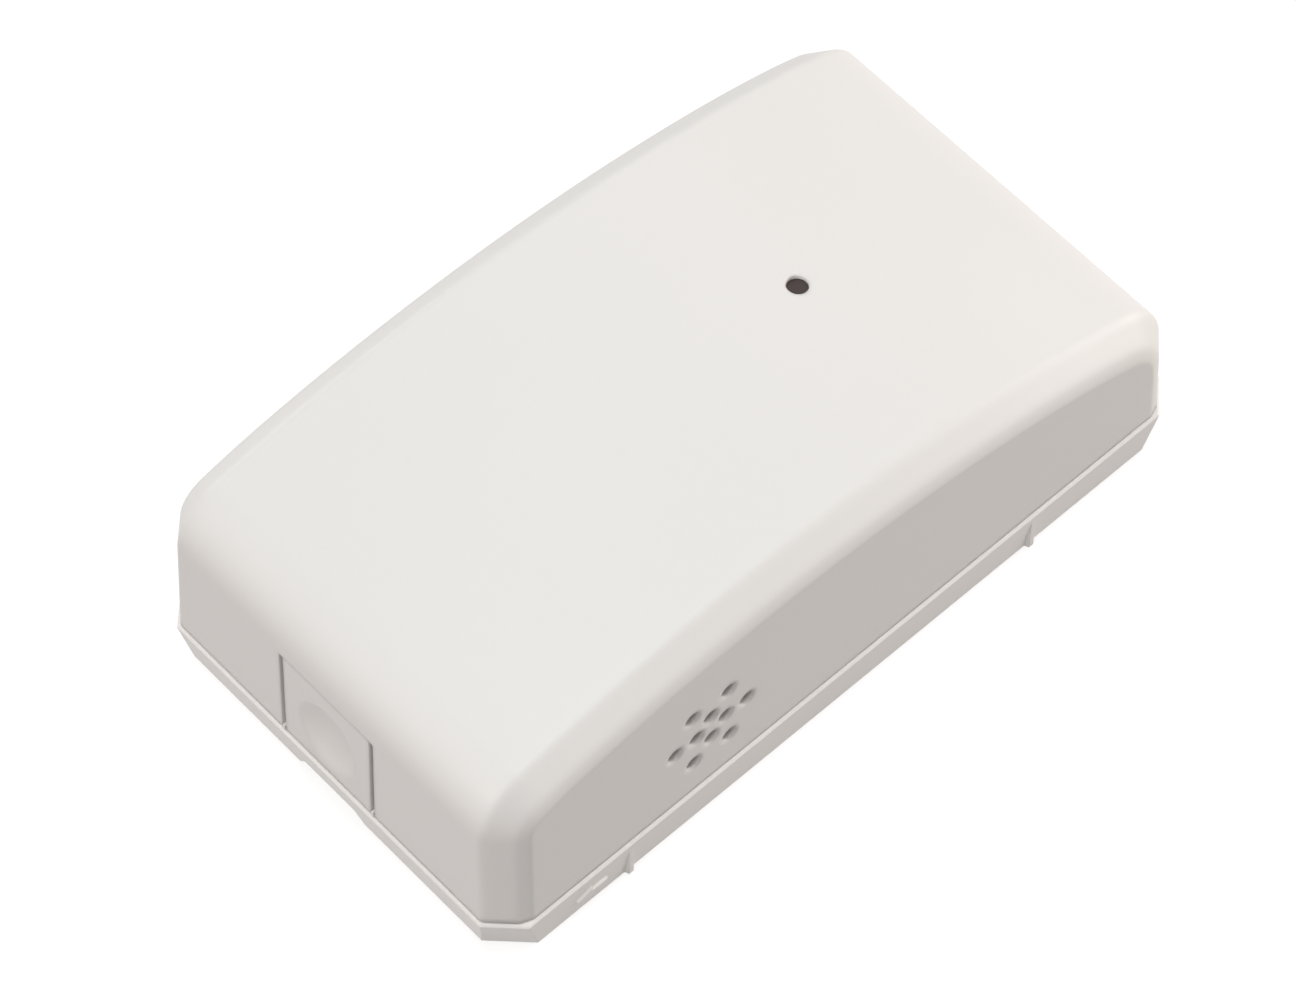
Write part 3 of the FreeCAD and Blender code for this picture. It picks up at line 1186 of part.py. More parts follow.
def jumper_cap():
    """Shorting cap over two of the three pins."""
    pitch, x, y, wide = "sizes.pin_pitch", "sizes.header_x", "sizes.header_y", "sizes.jumper_wide"
    low = f"({BOARD_TOP} + sizes.strip_high + 0.05)"
    well = "(sizes.pin_side + 2 * sizes.jumper_play)"
    block = box("cap_block", (wide, f"(2 * {pitch} - 0.1)", "sizes.jumper_high"),
                (f"{x} - {wide} / 2", f"{y} - 1.5 * {pitch} + 0.05", low))
    wells = []
    for n in range(2):
        wells.append(box(f"cap_well{n}", (well, well, "(sizes.jumper_high - sizes.jumper_roof + 0.1)"),
                         (f"{x} - {well} / 2", f"{y} + {n - 1} * {pitch} - {well} / 2", f"{low} - 0.1")))
    return cut("jumper_cap", block, fuse("cap_wells", wells))


def board_screws():
    """Two identical pan head screws that hold the board on its posts."""
    made = []
    for side in (-1, 1):
        spot = (f"{side} * {POST_X}", f"{-side} * {POST_Y}")
        head = rod(f"screw_head{side + 1}", "sizes.screw_head", "sizes.screw_head_high",
                   (*spot, BOARD_TOP))
        shank = rod(f"screw_shank{side + 1}", "sizes.screw_shank", "sizes.screw_long",
                    (*spot, f"{BOARD_TOP} - sizes.screw_long"))
        made.append(fuse(f"screw{side + 1}", [head, shank]))
    return group("board_screws", made)


def switches():
    """The tamper switch under the cover's post, and the learn button."""
    made = []
    for tag, label, x, y, travel in (
            ("tamper", "tamper_plunger", "sizes.tamper_x", "sizes.tamper_y", "0"),
            ("learn", "learn_button", "sizes.learn_x", "sizes.learn_y", "0.4")):
        case = push_switch(tag, x, y)
        case.Label = tag + "_switch_body"
        made += [case, push_stem(label, x, y, travel)]
    return made


def build():
    """Every sub-part, each in the node that its label names."""
    return [front_cover(), base_plate(), light_pipe(), dust_mesh(), circuit_board(),
            battery_cell(), battery_holder(), contact("battery_contact_positive", -1),
            contact("battery_contact_negative", 1), microphone_boot(), microphone_capsule(),
            indicator_led(), microcontroller(), radio_shield(), crystal(),
            electrolytic_capacitor(), antenna_wire(), chip_resistors(), chip_capacitors(),
            jumper_header(), jumper_cap(), board_screws(), *switches()]


parts = build()
doc.recompute()
for item in doc.Objects:
    if "Invalid" in item.State or "Error" in item.State:
        raise RuntimeError(f"{item.Name}: {item.State}")
os.makedirs("parts", exist_ok=True)
for part in parts:
    shape = part.Shape
    if shape.isNull() or not shape.isValid():
        raise RuntimeError(part.Label + " has no valid shape")
    print(part.Label, len(shape.Solids), round(shape.Volume, 2))
    shape.exportStep(f"parts/{part.Label}.step")
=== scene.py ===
import math

import bmesh
import bpy
from mathutils import Matrix, Vector
from mathutils.bvhtree import BVHTree

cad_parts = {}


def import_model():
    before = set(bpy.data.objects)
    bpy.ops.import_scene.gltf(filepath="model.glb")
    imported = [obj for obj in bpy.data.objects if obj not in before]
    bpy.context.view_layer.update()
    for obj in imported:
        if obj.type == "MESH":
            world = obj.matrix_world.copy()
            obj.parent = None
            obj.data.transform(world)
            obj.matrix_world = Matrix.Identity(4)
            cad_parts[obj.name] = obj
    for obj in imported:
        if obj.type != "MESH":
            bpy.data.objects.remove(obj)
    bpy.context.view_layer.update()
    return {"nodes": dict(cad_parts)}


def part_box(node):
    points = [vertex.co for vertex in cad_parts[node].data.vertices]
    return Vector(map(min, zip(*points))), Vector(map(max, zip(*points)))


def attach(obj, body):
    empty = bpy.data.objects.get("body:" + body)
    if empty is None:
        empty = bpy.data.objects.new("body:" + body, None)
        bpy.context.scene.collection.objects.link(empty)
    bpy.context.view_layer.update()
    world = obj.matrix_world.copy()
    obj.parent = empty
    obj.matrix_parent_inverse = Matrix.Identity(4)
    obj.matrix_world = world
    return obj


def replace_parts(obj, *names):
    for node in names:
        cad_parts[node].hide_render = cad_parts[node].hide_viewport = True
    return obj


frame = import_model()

# All lengths below are in millimetres unless a name says metres; MM turns them into metres.
MM = 0.001
NODES = frame["nodes"]


# Shader groups that several finishes share

def new_group(name, inputs, outputs):
    """An empty shader group with its sockets, and its two end nodes."""
    group = bpy.data.node_groups.new(name, "ShaderNodeTree")
    for label, default in inputs:
        socket = group.interface.new_socket(name=label, in_out="INPUT", socket_type="NodeSocketFloat")
        socket.default_value = default
    for label in outputs:
        group.interface.new_socket(name=label, in_out="OUTPUT", socket_type="NodeSocketFloat")
    return group, group.nodes.new("NodeGroupInput"), group.nodes.new("NodeGroupOutput")


def math_node(tree, operation, first, second=None, third=None, clamp=False):
    node = tree.nodes.new("ShaderNodeMath")
    node.operation = operation
    node.use_clamp = clamp
    for slot, value in enumerate((first, second, third)):
        if value is None:
            continue
        if isinstance(value, (int, float)):
            node.inputs[slot].default_value = value
        else:
            tree.links.new(value, node.inputs[slot])
    return node.outputs[0]


def noise(tree, scale, detail=2.0, vector=None):
    node = tree.nodes.new("ShaderNodeTexNoise")
    node.inputs["Detail"].default_value = detail
    if isinstance(scale, (int, float)):
        node.inputs["Scale"].default_value = scale
    else:
        tree.links.new(scale, node.inputs["Scale"])
    if vector is None:
        vector = tree.nodes.new("ShaderNodeTexCoord").outputs["Object"]
    tree.links.new(vector, node.inputs["Vector"])
    return node.outputs["Fac"]


def coordinates(tree, kind="Object"):
    """X, Y and Z of a point on the object, or of its normal."""
    parts = tree.nodes.new("ShaderNodeSeparateXYZ")
    tree.links.new(tree.nodes.new("ShaderNodeTexCoord").outputs[kind], parts.inputs[0])
    return parts.outputs


def moulded_grain():
    """Fine spark-eroded texture of moulded plastic, with broad faint flow marks."""
    group, start, end = new_group("moulded grain", [("Grain per metre", 4200.0), ("Flow per metre", 24.0)],
                                  ["Height", "Shade"])
    fine = noise(group, start.outputs["Grain per metre"], 3.0)
    flow = noise(group, start.outputs["Flow per metre"], 1.0)
    group.links.new(fine, end.inputs["Height"])
    speck = math_node(group, "MULTIPLY", fine, 0.25)
    group.links.new(math_node(group, "MULTIPLY_ADD", flow, 0.75, speck), end.inputs["Shade"])
    return group


def drawn_metal():
    """Fine lines and smears of drawn or rolled metal."""
    group, start, end = new_group("drawn metal", [("Lines per metre", 5200.0)], ["Height", "Shade"])
    place = group.nodes.new("ShaderNodeTexCoord").outputs["Object"]
    stretch = group.nodes.new("ShaderNodeMapping")
    stretch.inputs["Scale"].default_value = (0.06, 1.0, 1.0)
    group.links.new(place, stretch.inputs["Vector"])
    lines = noise(group, start.outputs["Lines per metre"], 2.0, stretch.outputs["Vector"])
    smear = noise(group, 320.0, 2.0, place)
    group.links.new(lines, end.inputs["Height"])
    group.links.new(math_node(group, "MULTIPLY_ADD", smear, 0.6, math_node(group, "MULTIPLY", lines, 0.4)),
                    end.inputs["Shade"])
    return group


def woven_cloth():
    """Over and under of a plain weave."""
    group, start, end = new_group("woven cloth", [("Threads per metre", 2600.0)], ["Height"])
    parts = coordinates(group)
    turn = math_node(group, "MULTIPLY", start.outputs["Threads per metre"], math.pi)
    waves = []
    for axis in ("X", "Z"):
        angle = math_node(group, "MULTIPLY", parts[axis], turn)
        waves.append(math_node(group, "ABSOLUTE", math_node(group, "SINE", angle)))
    group.links.new(math_node(group, "MAXIMUM", *waves), end.inputs["Height"])
    return group


def zone_above():
    """1 above a height on Z and 0 below it, for pieces that are two finishes in one."""
    group, start, end = new_group("zone above", [("Height in metres", 0.01)], ["Mask"])
    over = math_node(group, "GREATER_THAN", coordinates(group)["Z"], start.outputs["Height in metres"])
    group.links.new(over, end.inputs["Mask"])
    return group


GRAIN = moulded_grain()
DRAWN = drawn_metal()
WEAVE = woven_cloth()
ZONE = zone_above()


def placed(tree, group, **values):
    node = tree.nodes.new("ShaderNodeGroup")
    node.node_tree = group
    for label, value in values.items():
        node.inputs[label.replace("_", " ")].default_value = value
    return node


def ramp(tree, fac, low, high, start=0.0, end=1.0):
    """Two colours mixed by a mask that is read between start and end."""
    node = tree.nodes.new("ShaderNodeValToRGB")
    node.color_ramp.elements[0].color = (*low, 1.0)
    node.color_ramp.elements[1].color = (*high, 1.0)
    node.color_ramp.elements[0].position = start
    node.color_ramp.elements[1].position = end
    tree.links.new(fac, node.inputs["Fac"])
    return node.outputs["Color"]


def mixed(tree, fac, first, second):
    """The first colour where a mask is 0, and the second where it is 1."""
    node = tree.nodes.new("ShaderNodeMix")
    node.data_type = "RGBA"
    for label, source in (("Factor", fac), ("A", first), ("B", second)):
        if isinstance(source, tuple):
            node.inputs[label].default_value = (*source, 1.0)
        else:
            tree.links.new(source, node.inputs[label])
    return node.outputs["Result"]


def shaded(colour, factor):
    return tuple(min(1.0, channel * factor) for channel in colour)


NOISE_READ = (0.3, 0.7)  # the part of a noise that is read, as few of its values lie outside


def tinted(tree, shade, colour, contrast):
    """A colour that a noise makes a little darker and a little lighter."""
    return ramp(tree, shade, shaded(colour, 1 - contrast), shaded(colour, 1 + contrast), *NOISE_READ)


def spread(tree, fac, low, high):
    """A number that runs from low to high as a mask goes from 0 to 1."""
    node = tree.nodes.new("ShaderNodeMapRange")
    node.inputs["To Min"].default_value = low
    node.inputs["To Max"].default_value = high
    tree.links.new(fac, node.inputs["Value"])
    return node.outputs["Result"]


BEVEL_SAMPLES = 8


def bump(tree, height, strength, distance, soft=0.0):
    """Relief from a height, over edges that look rounded by a soft radius in millimetres.

    The distance is in metres. A pair of soft radii is for upright and level faces, and for slanted ones.
    """
    node = tree.nodes.new("ShaderNodeBump")
    node.inputs["Strength"].default_value = strength
    node.inputs["Distance"].default_value = distance
    tree.links.new(height, node.inputs["Height"])
    if soft:
        rounded = tree.nodes.new("ShaderNodeBevel")
        rounded.samples = BEVEL_SAMPLES
        if isinstance(soft, float):
            rounded.inputs["Radius"].default_value = soft * MM
        else:
            radius = spread(tree, slanted(tree), soft[0] * MM, soft[1] * MM)
            tree.links.new(radius, rounded.inputs["Radius"])
        tree.links.new(rounded.outputs["Normal"], node.inputs["Normal"])
    return node.outputs["Normal"]


def slanted(tree):
    """1 on faces that slant between the axes, such as the chamfer band, and 0 on upright and level faces."""
    parts = coordinates(tree, "Normal")
    fourths = [math_node(tree, "POWER", parts[axis], 4.0) for axis in "XYZ"]
    flat = math_node(tree, "ADD", math_node(tree, "ADD", fourths[0], fourths[1]), fourths[2])
    # The sum is 1 on a face along the axes and 0.5 at 45 degrees, so this runs from 0 at 0.9 to 1 at 0.65
    return math_node(tree, "MULTIPLY_ADD", flat, -4.0, 3.6, clamp=True)


def new_material(name, **sockets):
    material = bpy.data.materials.new(name)
    material.use_nodes = True
    tree = material.node_tree
    shader = tree.nodes["Principled BSDF"]
    for label, value in sockets.items():
        shader.inputs[label.replace("_", " ")].default_value = value
    return material, tree, shader


def connect(tree, shader, **sources):
    """Links outputs to a shader's sockets, which are named with underscores for blanks."""
    for label, source in sources.items():
        tree.links.new(source, shader.inputs[label.replace("_", " ")])


FINE = 0.00003  # metres that a full step of fine grain stands up


def plastic(name, colour, roughness=0.42, grain=4200.0, depth=0.12, contrast=0.03, soft=0.0, **sockets):
    """Moulded plastic: fine grain in the bump, a faint change of shade and gloss."""
    material, tree, shader = new_material(name, **sockets)
    grainy = placed(tree, GRAIN, Grain_per_metre=grain)
    shade = grainy.outputs["Shade"]
    connect(tree, shader, Base_Color=tinted(tree, shade, colour, contrast),
            Roughness=spread(tree, shade, roughness - 0.05, roughness + 0.05),
            Normal=bump(tree, grainy.outputs["Height"], depth, FINE, soft))
    return material


CUT_EDGE = (0.30, 0.27, 0.13)


def laminate(name, face, edge):
    """Board under glossy solder resist: blotchy green faces and a duller cut edge."""
    material, tree, shader = new_material(name, Coat_Weight=0.35)
    grainy = placed(tree, GRAIN, Grain_per_metre=1500.0, Flow_per_metre=160.0)
    shade = grainy.outputs["Shade"]
    upward = math_node(tree, "ABSOLUTE", coordinates(tree, "Normal")["Z"])
    level = math_node(tree, "GREATER_THAN", upward, 0.7)
    resist = ramp(tree, shade, edge, face, *NOISE_READ)
    colour = mixed(tree, level, tinted(tree, shade, CUT_EDGE, 0.15), resist)
    connect(tree, shader, Base_Color=colour, Roughness=spread(tree, level, 0.7, 0.28),
            Normal=bump(tree, grainy.outputs["Height"], 0.12, FINE))
    return material


def cloth(name, gap, thread):
    """Fine plain weave: threads over gaps whose near-black colour is painted shade in the openings of the
    weave.
    """
    material, tree, shader = new_material(name)
    woven = placed(tree, WEAVE, Threads_per_metre=2600.0)
    height = woven.outputs["Height"]
    connect(tree, shader, Base_Color=ramp(tree, height, gap, thread, 0.35, 0.9),
            Roughness=spread(tree, height, 0.9, 0.55), Normal=bump(tree, height, 0.6, 0.00006))
    return material


def felt(name, low, high):
    """Matted fibres with a soft sheen."""
    material, tree, shader = new_material(name, Sheen_Weight=0.5)
    grainy = placed(tree, GRAIN, Grain_per_metre=6400.0, Flow_per_metre=900.0)
    height = grainy.outputs["Height"]
    connect(tree, shader, Base_Color=ramp(tree, height, low, high, 0.35, 0.65),
            Roughness=spread(tree, grainy.outputs["Shade"], 0.85, 1.0),
            Normal=bump(tree, height, 0.8, 0.0001))
    return material


def banded(name, main, end, axis, limit):
    """Glossy shrink film with another colour past a line across it, in metres along an axis."""
    material, tree, shader = new_material(name, Coat_Weight=0.6)
    grainy = placed(tree, GRAIN, Grain_per_metre=1400.0, Flow_per_metre=300.0)
    shade = grainy.outputs["Shade"]
    past = math_node(tree, "LESS_THAN", coordinates(tree)[axis], limit)
    colour = mixed(tree, past, tinted(tree, shade, main, 0.12), tinted(tree, shade, end, 0.06))
    connect(tree, shader, Base_Color=colour, Roughness=spread(tree, shade, 0.22, 0.34),
            Normal=bump(tree, grainy.outputs["Height"], 0.12, 0.00004))
    return material


def metal(name, colour, roughness=0.3, lines=5200.0, depth=0.1, contrast=0.08, **sockets):
    """Drawn or plated metal, with fine lines and smears."""
    material, tree, shader = new_material(name, Metallic=1.0, **sockets)
    drawn = placed(tree, DRAWN, Lines_per_metre=lines)
    shade = drawn.outputs["Shade"]
    connect(tree, shader, Base_Color=tinted(tree, shade, colour, contrast),
            Roughness=spread(tree, shade, roughness - 0.07, roughness + 0.1),
            Normal=bump(tree, drawn.outputs["Height"], depth, 0.00002))
    return material


def two_zone(name, below, above, height, roughness, metallic_above=1.0):
    """One finish below a height in metres and another above it, such as pins in a moulded strip."""
    material, tree, shader = new_material(name)
    mask = placed(tree, ZONE, Height_in_metres=height).outputs["Mask"]
    grainy = placed(tree, GRAIN, Grain_per_metre=6000.0)
    shade = grainy.outputs["Shade"]
    colour = mixed(tree, mask, tinted(tree, shade, below, 0.05), tinted(tree, shade, above, 0.08))
    connect(tree, shader, Base_Color=colour, Metallic=math_node(tree, "MULTIPLY", mask, metallic_above),
            Roughness=spread(tree, mask, *roughness),
            Normal=bump(tree, grainy.outputs["Height"], 0.1, 0.00002))
    return material


# Finishes

WHITE = (0.800, 0.795, 0.785)
# The base's white is the cover's white made 11 % lighter as painted light, so that its rim and ledge look as
# bright as a lit highlight; the raised arrow on it shares this colour.
BASE_WHITE_PAINTED_LIGHTER = shaded(WHITE, 1.11)
TIN = (0.62, 0.61, 0.58)
FINISH = {
    "cover": plastic("white cover moulding", WHITE, 0.44, 3800.0, 0.10, 0.012, soft=(0.9, 1.8)),
    "base": plastic("white base moulding", BASE_WHITE_PAINTED_LIGHTER, 0.46, 3800.0, 0.10, 0.012, soft=0.15),
    "arrow": plastic("white raised arrow", BASE_WHITE_PAINTED_LIGHTER, 0.46, 3800.0, 0.10, 0.012),
    # The dust mesh's first, near-black colour is painted shade in the openings between its threads.
    "mesh": cloth("dust mesh cloth", (0.030, 0.028, 0.027), (0.16, 0.15, 0.145)),
    "pipe": plastic("smoked light pipe", (0.060, 0.036, 0.034), 0.30, 9000.0, 0.02, 0.05,
                    Transmission_Weight=0.25, IOR=1.49),
    "board": laminate("green solder resist", (0.010, 0.115, 0.050), (0.006, 0.085, 0.036)),
    "tracks": plastic("resist over copper", (0.030, 0.215, 0.090), 0.24, 5200.0, 0.10, 0.07, Coat_Weight=0.5),
    "print": plastic("white board print", (0.74, 0.74, 0.70), 0.62, 7000.0, 0.20, 0.05),
    "solder": metal("bright solder", TIN, 0.24, 2600.0, 0.25, 0.10),
    "holder": plastic("black holder moulding", (0.014, 0.014, 0.015), 0.42, 5200.0, 0.16, 0.14, soft=0.12),
    "sign": plastic("pale moulded sign", (0.30, 0.30, 0.30), 0.5, 5200.0, 0.12, 0.06),
    "can": metal("plated cell can", (0.66, 0.65, 0.62), 0.26, 3600.0, 0.12, 0.08),
    "sleeve": banded("cell shrink sleeve", (0.012, 0.060, 0.115), (0.55, 0.57, 0.58), "X", -0.0142),
    "leaf": metal("nickelled spring leaf", (0.63, 0.60, 0.54), 0.28, 5200.0, 0.14, 0.09),
    "boot": plastic("dark rubber", (0.020, 0.020, 0.021), 0.72, 2600.0, 0.30, 0.20, soft=0.2),
    "capsule": metal("capsule aluminium", (0.70, 0.70, 0.70), 0.34, 5200.0, 0.14, 0.06),
    "felt": felt("black felt", (0.012, 0.012, 0.012), (0.045, 0.044, 0.042)),
    "led": two_zone("indicator case and lens", (0.72, 0.72, 0.68), (0.50, 0.46, 0.20), 0.00842,
                    (0.42, 0.14), 0.0),
    "switch": plastic("black switch case", (0.016, 0.016, 0.017), 0.48, 5200.0, 0.14, 0.12),
    "lid": metal("stamped switch lid", (0.60, 0.60, 0.58), 0.32, 4200.0, 0.14, 0.08),
    "plunger": plastic("black stem", (0.020, 0.020, 0.021), 0.36, 5200.0, 0.10, 0.12, soft=0.1),
    "learn": plastic("red stem", (0.42, 0.030, 0.022), 0.36, 5200.0, 0.10, 0.08, soft=0.1),
    "chip": plastic("chip resin", (0.022, 0.022, 0.023), 0.58, 8200.0, 0.30, 0.16),
    "shield": metal("tinned shield plate", (0.66, 0.66, 0.64), 0.36, 1900.0, 0.14, 0.10),
    "wire": metal("enamelled copper", (0.60, 0.26, 0.11), 0.28, 2600.0, 0.10, 0.09, Coat_Weight=0.6),
    "crystal": metal("crystal can", (0.68, 0.67, 0.64), 0.22, 2600.0, 0.12, 0.08),
    "capacitor": metal("capacitor can", (0.70, 0.70, 0.70), 0.26, 2600.0, 0.12, 0.08),
    "capacitor_sleeve": plastic("capacitor sleeve", (0.012, 0.014, 0.030), 0.28, 2600.0, 0.10, 0.12,
                                Coat_Weight=0.4),
    "stripe": plastic("sleeve stripe", (0.44, 0.47, 0.50), 0.34, 2600.0, 0.10, 0.06),
    "resistor": plastic("resistor glaze", (0.018, 0.017, 0.017), 0.30, 7000.0, 0.12, 0.18),
    "ceramic": plastic("ceramic body", (0.36, 0.255, 0.150), 0.52, 7000.0, 0.20, 0.09),
    "header": two_zone("pin strip and gilt pins", (0.016, 0.016, 0.017), (0.80, 0.58, 0.24), 0.00962,
                       (0.45, 0.24), 1.0),
    "jumper": plastic("blue jumper", (0.020, 0.090, 0.360), 0.40, 5200.0, 0.12, 0.08, soft=0.1),
    "screw": metal("zinc plated screw", (0.62, 0.62, 0.63), 0.27, 3600.0, 0.12, 0.10),
}


def set_finish(node, material):
    """Gives a CAD node its finish."""
    item = NODES[node]
    item.data.materials.clear()
    item.data.materials.append(FINISH[material])


for node, material in (
        ("front_cover", "cover"), ("base_plate", "base"), ("dust_mesh", "mesh"), ("light_pipe", "pipe"),
        ("circuit_board", "board"), ("battery_cell", "can"), ("battery_holder", "holder"),
        ("battery_contact_positive", "leaf"), ("battery_contact_negative", "leaf"),
        ("microphone_boot", "boot"), ("microphone_capsule", "capsule"), ("indicator_led", "led"),
        ("microcontroller", "chip"), ("radio_shield", "shield"), ("crystal", "crystal"),
        ("electrolytic_capacitor", "capacitor"), ("antenna_wire", "wire"), ("chip_resistors", "resistor"),
        ("chip_capacitors", "ceramic"), ("jumper_header", "header"), ("jumper_cap", "jumper"),
        ("board_screws", "screw"), ("tamper_switch_body", "switch"), ("learn_switch_body", "switch"),
        ("tamper_plunger", "plunger"), ("learn_button", "learn")):
    set_finish(node, material)


# Tools of the model maker; lengths in millimetres

def node_box(node):
    """Lowest and highest corner of a CAD node."""
    return tuple(Vector(corner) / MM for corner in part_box(node))


def middle_of(node):
    low, high = node_box(node)
    return (low + high) / 2


def solids_of(node):
    """Lowest and highest corner of each separate solid in a CAD node."""
    item = NODES[node]
    work = bmesh.new()
    work.from_mesh(item.data)
    bmesh.ops.transform(work, matrix=item.matrix_world, verts=work.verts)
    bmesh.ops.remove_doubles(work, verts=work.verts, dist=1e-6)
    left = set(work.verts)
    boxes = []
    while left:
        shell, front = set(), [left.pop()]
        while front:
            vert = front.pop()
            shell.add(vert)
            for edge in vert.link_edges:
                other = edge.other_vert(vert)
                if other in left:
                    left.remove(other)
                    front.append(other)
        corners = [tuple(f(v.co[i] for v in shell) / MM for i in range(3)) for f in (min, max)]
        boxes.append(tuple(Vector(corner) for corner in corners))
    work.free()
    return sorted(boxes, key=lambda pair: tuple(pair[0]))


def skin_of(node):
    """The surface of a CAD node, to set small details on."""
    item = NODES[node]
    work = bmesh.new()
    work.from_mesh(item.data)
    bmesh.ops.transform(work, matrix=Matrix.Scale(1 / MM, 4) @ item.matrix_world, verts=work.verts)
    tree = BVHTree.FromBMesh(work)
    work.free()
    return tree


def linked(name, data):
    """A new object in the scene."""
    item = bpy.data.objects.new(name, data)
    bpy.context.scene.collection.objects.link(item)
    return item


def facing(point, normal):
    """A matrix whose Z leaves the surface at a point."""
    turn = Vector(normal).to_track_quat("Z", "Y").to_matrix().to_4x4()
    return Matrix.Translation(point) @ turn


def piece(name, work, finish, body="base", crease=32.0):
    """Makes an object of mesh work in millimetres, which rides on a body."""
    bmesh.ops.scale(work, vec=(MM, MM, MM), verts=work.verts)
    bmesh.ops.recalc_face_normals(work, faces=work.faces)
    mesh = bpy.data.meshes.new(name)
    work.to_mesh(mesh)
    work.free()
    for face in mesh.polygons:
        face.use_smooth = True
    mesh.set_sharp_from_angle(angle=math.radians(crease))
    mesh.materials.append(FINISH[finish])
    item = linked(name, mesh)
    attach(item, body)
    return item


def block(work, low, high, edge):
    """A block between two corners, with broken edges."""
    low, high = Vector(low), Vector(high)
    made = bmesh.ops.create_cube(work, size=1.0)["verts"]
    for vert in made:
        vert.co = vert.co * (high - low) + (low + high) / 2
    sides = list({side for vert in made for side in vert.link_edges})
    bmesh.ops.bevel(work, geom=sides, offset=edge, segments=2, profile=0.6, affect="EDGES")


def bridge(work, rows, around=True):
    """Faces between rows of as many points each, which close around or stay open."""
    for first, second in zip(rows, rows[1:]):
        count = len(first)
        for n in range(count if around else count - 1):
            m = (n + 1) % count
            work.faces.new((first[n], first[m], second[m], second[n]))


def lofted(work, rows):
    """Rows that close around, with a face at each end."""
    bridge(work, rows)
    work.faces.new(rows[0])
    work.faces.new(rows[-1][::-1])


def turned(work, profile, place=Matrix.Identity(4), steps=40):
    """A turned form: pairs of radius and height, swept round Z and then put in place."""
    rings = []
    for radius, height in profile:
        if radius < 1e-6:
            rings.append([work.verts.new(place @ Vector((0, 0, height)))])
            continue
        ring = []
        for n in range(steps):
            angle = 2 * math.pi * n / steps
            spot = Vector((radius * math.cos(angle), radius * math.sin(angle), height))
            ring.append(work.verts.new(place @ spot))
        rings.append(ring)
    for first, second in zip(rings, rings[1:]):
        for n in range(steps):
            corners = [first[n % len(first)], first[(n + 1) % len(first)],
                       second[(n + 1) % len(second)], second[n % len(second)]]
            kept = [v for i, v in enumerate(corners) if v not in corners[:i]]
            if len(kept) > 2:
                work.faces.new(kept)


def band(work, points, width, low, high, closed=False, place=Matrix.Identity(4)):
    """A flat line of even width along points, mitred at its bends, such as a track or a printed line."""
    spots = [Vector(p) for p in points]
    count = len(spots)
    rows = []
    for n, spot in enumerate(spots):
        before = spots[n - 1] if n or closed else None
        after = spots[(n + 1) % count] if n < count - 1 or closed else None
        ways = [(spot - before).normalized()] if before is not None else []
        ways += [(after - spot).normalized()] if after is not None else []
        along = sum(ways, Vector((0, 0))).normalized()
        side = Vector((-along.y, along.x)) * (width / 2 / max(0.4, along.dot(ways[0])))
        rows.append([work.verts.new(place @ Vector((p.x, p.y, z)))
                     for p, z in ((spot + side, low), (spot + side, high),
                                  (spot - side, high), (spot - side, low))])
    if closed:
        bridge(work, rows + rows[:1])
    else:
        lofted(work, rows)


def leg(work, line, width, thick, place):
    """A bent metal leg: a line of (out, up) points with a thickness and a width."""
    spots = [Vector(p) for p in line]
    rows = []
    for n, spot in enumerate(spots):
        along = (spots[min(n + 1, len(spots) - 1)] - spots[max(n - 1, 0)]).normalized()
        side = Vector((-along.y, along.x)) * thick / 2
        rows.append([work.verts.new(place @ Vector((p.x, w, p.y)))
                     for p, w in ((spot + side, -width / 2), (spot + side, width / 2),
                                  (spot - side, width / 2), (spot - side, -width / 2))])
    lofted(work, rows)


def quarter_turns(centre):
    """Four places round a centre, each facing out."""
    return [Matrix.Translation(centre) @ Matrix.Rotation(math.pi / 2 * n, 4, "Z") for n in range(4)]


# Outside details

def arrow_on_base():
    """Small raised arrow on the base's long side, which points to the end that opens."""
    skin = skin_of("base_plate")
    outside = Vector((-36.85, -60.0, 3.2))
    spot, normal, _, _ = skin.ray_cast(outside, Vector((0, 1, 0)))
    right = Vector((1, 0, 0))
    up = normal.cross(right)
    place = Matrix.Translation(spot) @ Matrix((right, up, normal)).transposed().to_4x4()
    shaft, head, tip, neck, tail = 0.42, 1.08, -2.15, -0.1, 2.1
    sunk, tall, taper_x, taper_y = -0.02, 0.28, 0.95, 0.84
    outline = [(tip, 0.0), (neck, -head), (neck, -shaft), (tail, -shaft),
               (tail, shaft), (neck, shaft), (neck, head)]
    work = bmesh.new()
    foot = [work.verts.new(place @ Vector((x, y, sunk))) for x, y in outline]
    crown = [work.verts.new(place @ Vector((x * taper_x, y * taper_y, tall))) for x, y in outline]
    work.faces.new(crown)
    bridge(work, [foot, crown])
    piece("arrow_on_base", work, "arrow")


def cover_ejector_marks():
    """Faint round marks that the mould's pins leave inside the cover."""
    skin = skin_of("front_cover")
    inside = 14.0
    profile = [(0.0, 0.015), (2.0, 0.015), (2.12, 0.05), (2.3, 0.05), (2.42, -0.02)]
    work = bmesh.new()
    for x in (-30.0, -10.0, 8.0, 30.0):
        for y in (-16.0, 16.0):
            spot, normal, _, _ = skin.ray_cast(Vector((x, y, inside)), Vector((0, 0, 1)))
            turned(work, profile, facing(spot, normal), 32)
    piece("cover_ejector_marks", work, "cover", "cover")


# The board's copper, solder and print

BOARD_TOP = node_box("circuit_board")[1].z
SUNK = 0.01  # how far what is laid on the board reaches into it
TRACK_WIDE, EDGE_TRACK_WIDE, TRACK_TALL = 0.34, 0.7, 0.035
PRINT_WIDE, PRINT_TALL = 0.18, 0.045


def elbow(start, end):
    """A track's route: slanting at 45 degrees first, then straight."""
    start, end = Vector(start), Vector(end)
    way = end - start
    slant = min(abs(way.x), abs(way.y))
    turn = start + Vector((math.copysign(slant, way.x), math.copysign(slant, way.y)))
    spots = [start, turn, end]
    return [spot for n, spot in enumerate(spots) if n == 0 or (spot - spots[n - 1]).length > 1e-3]


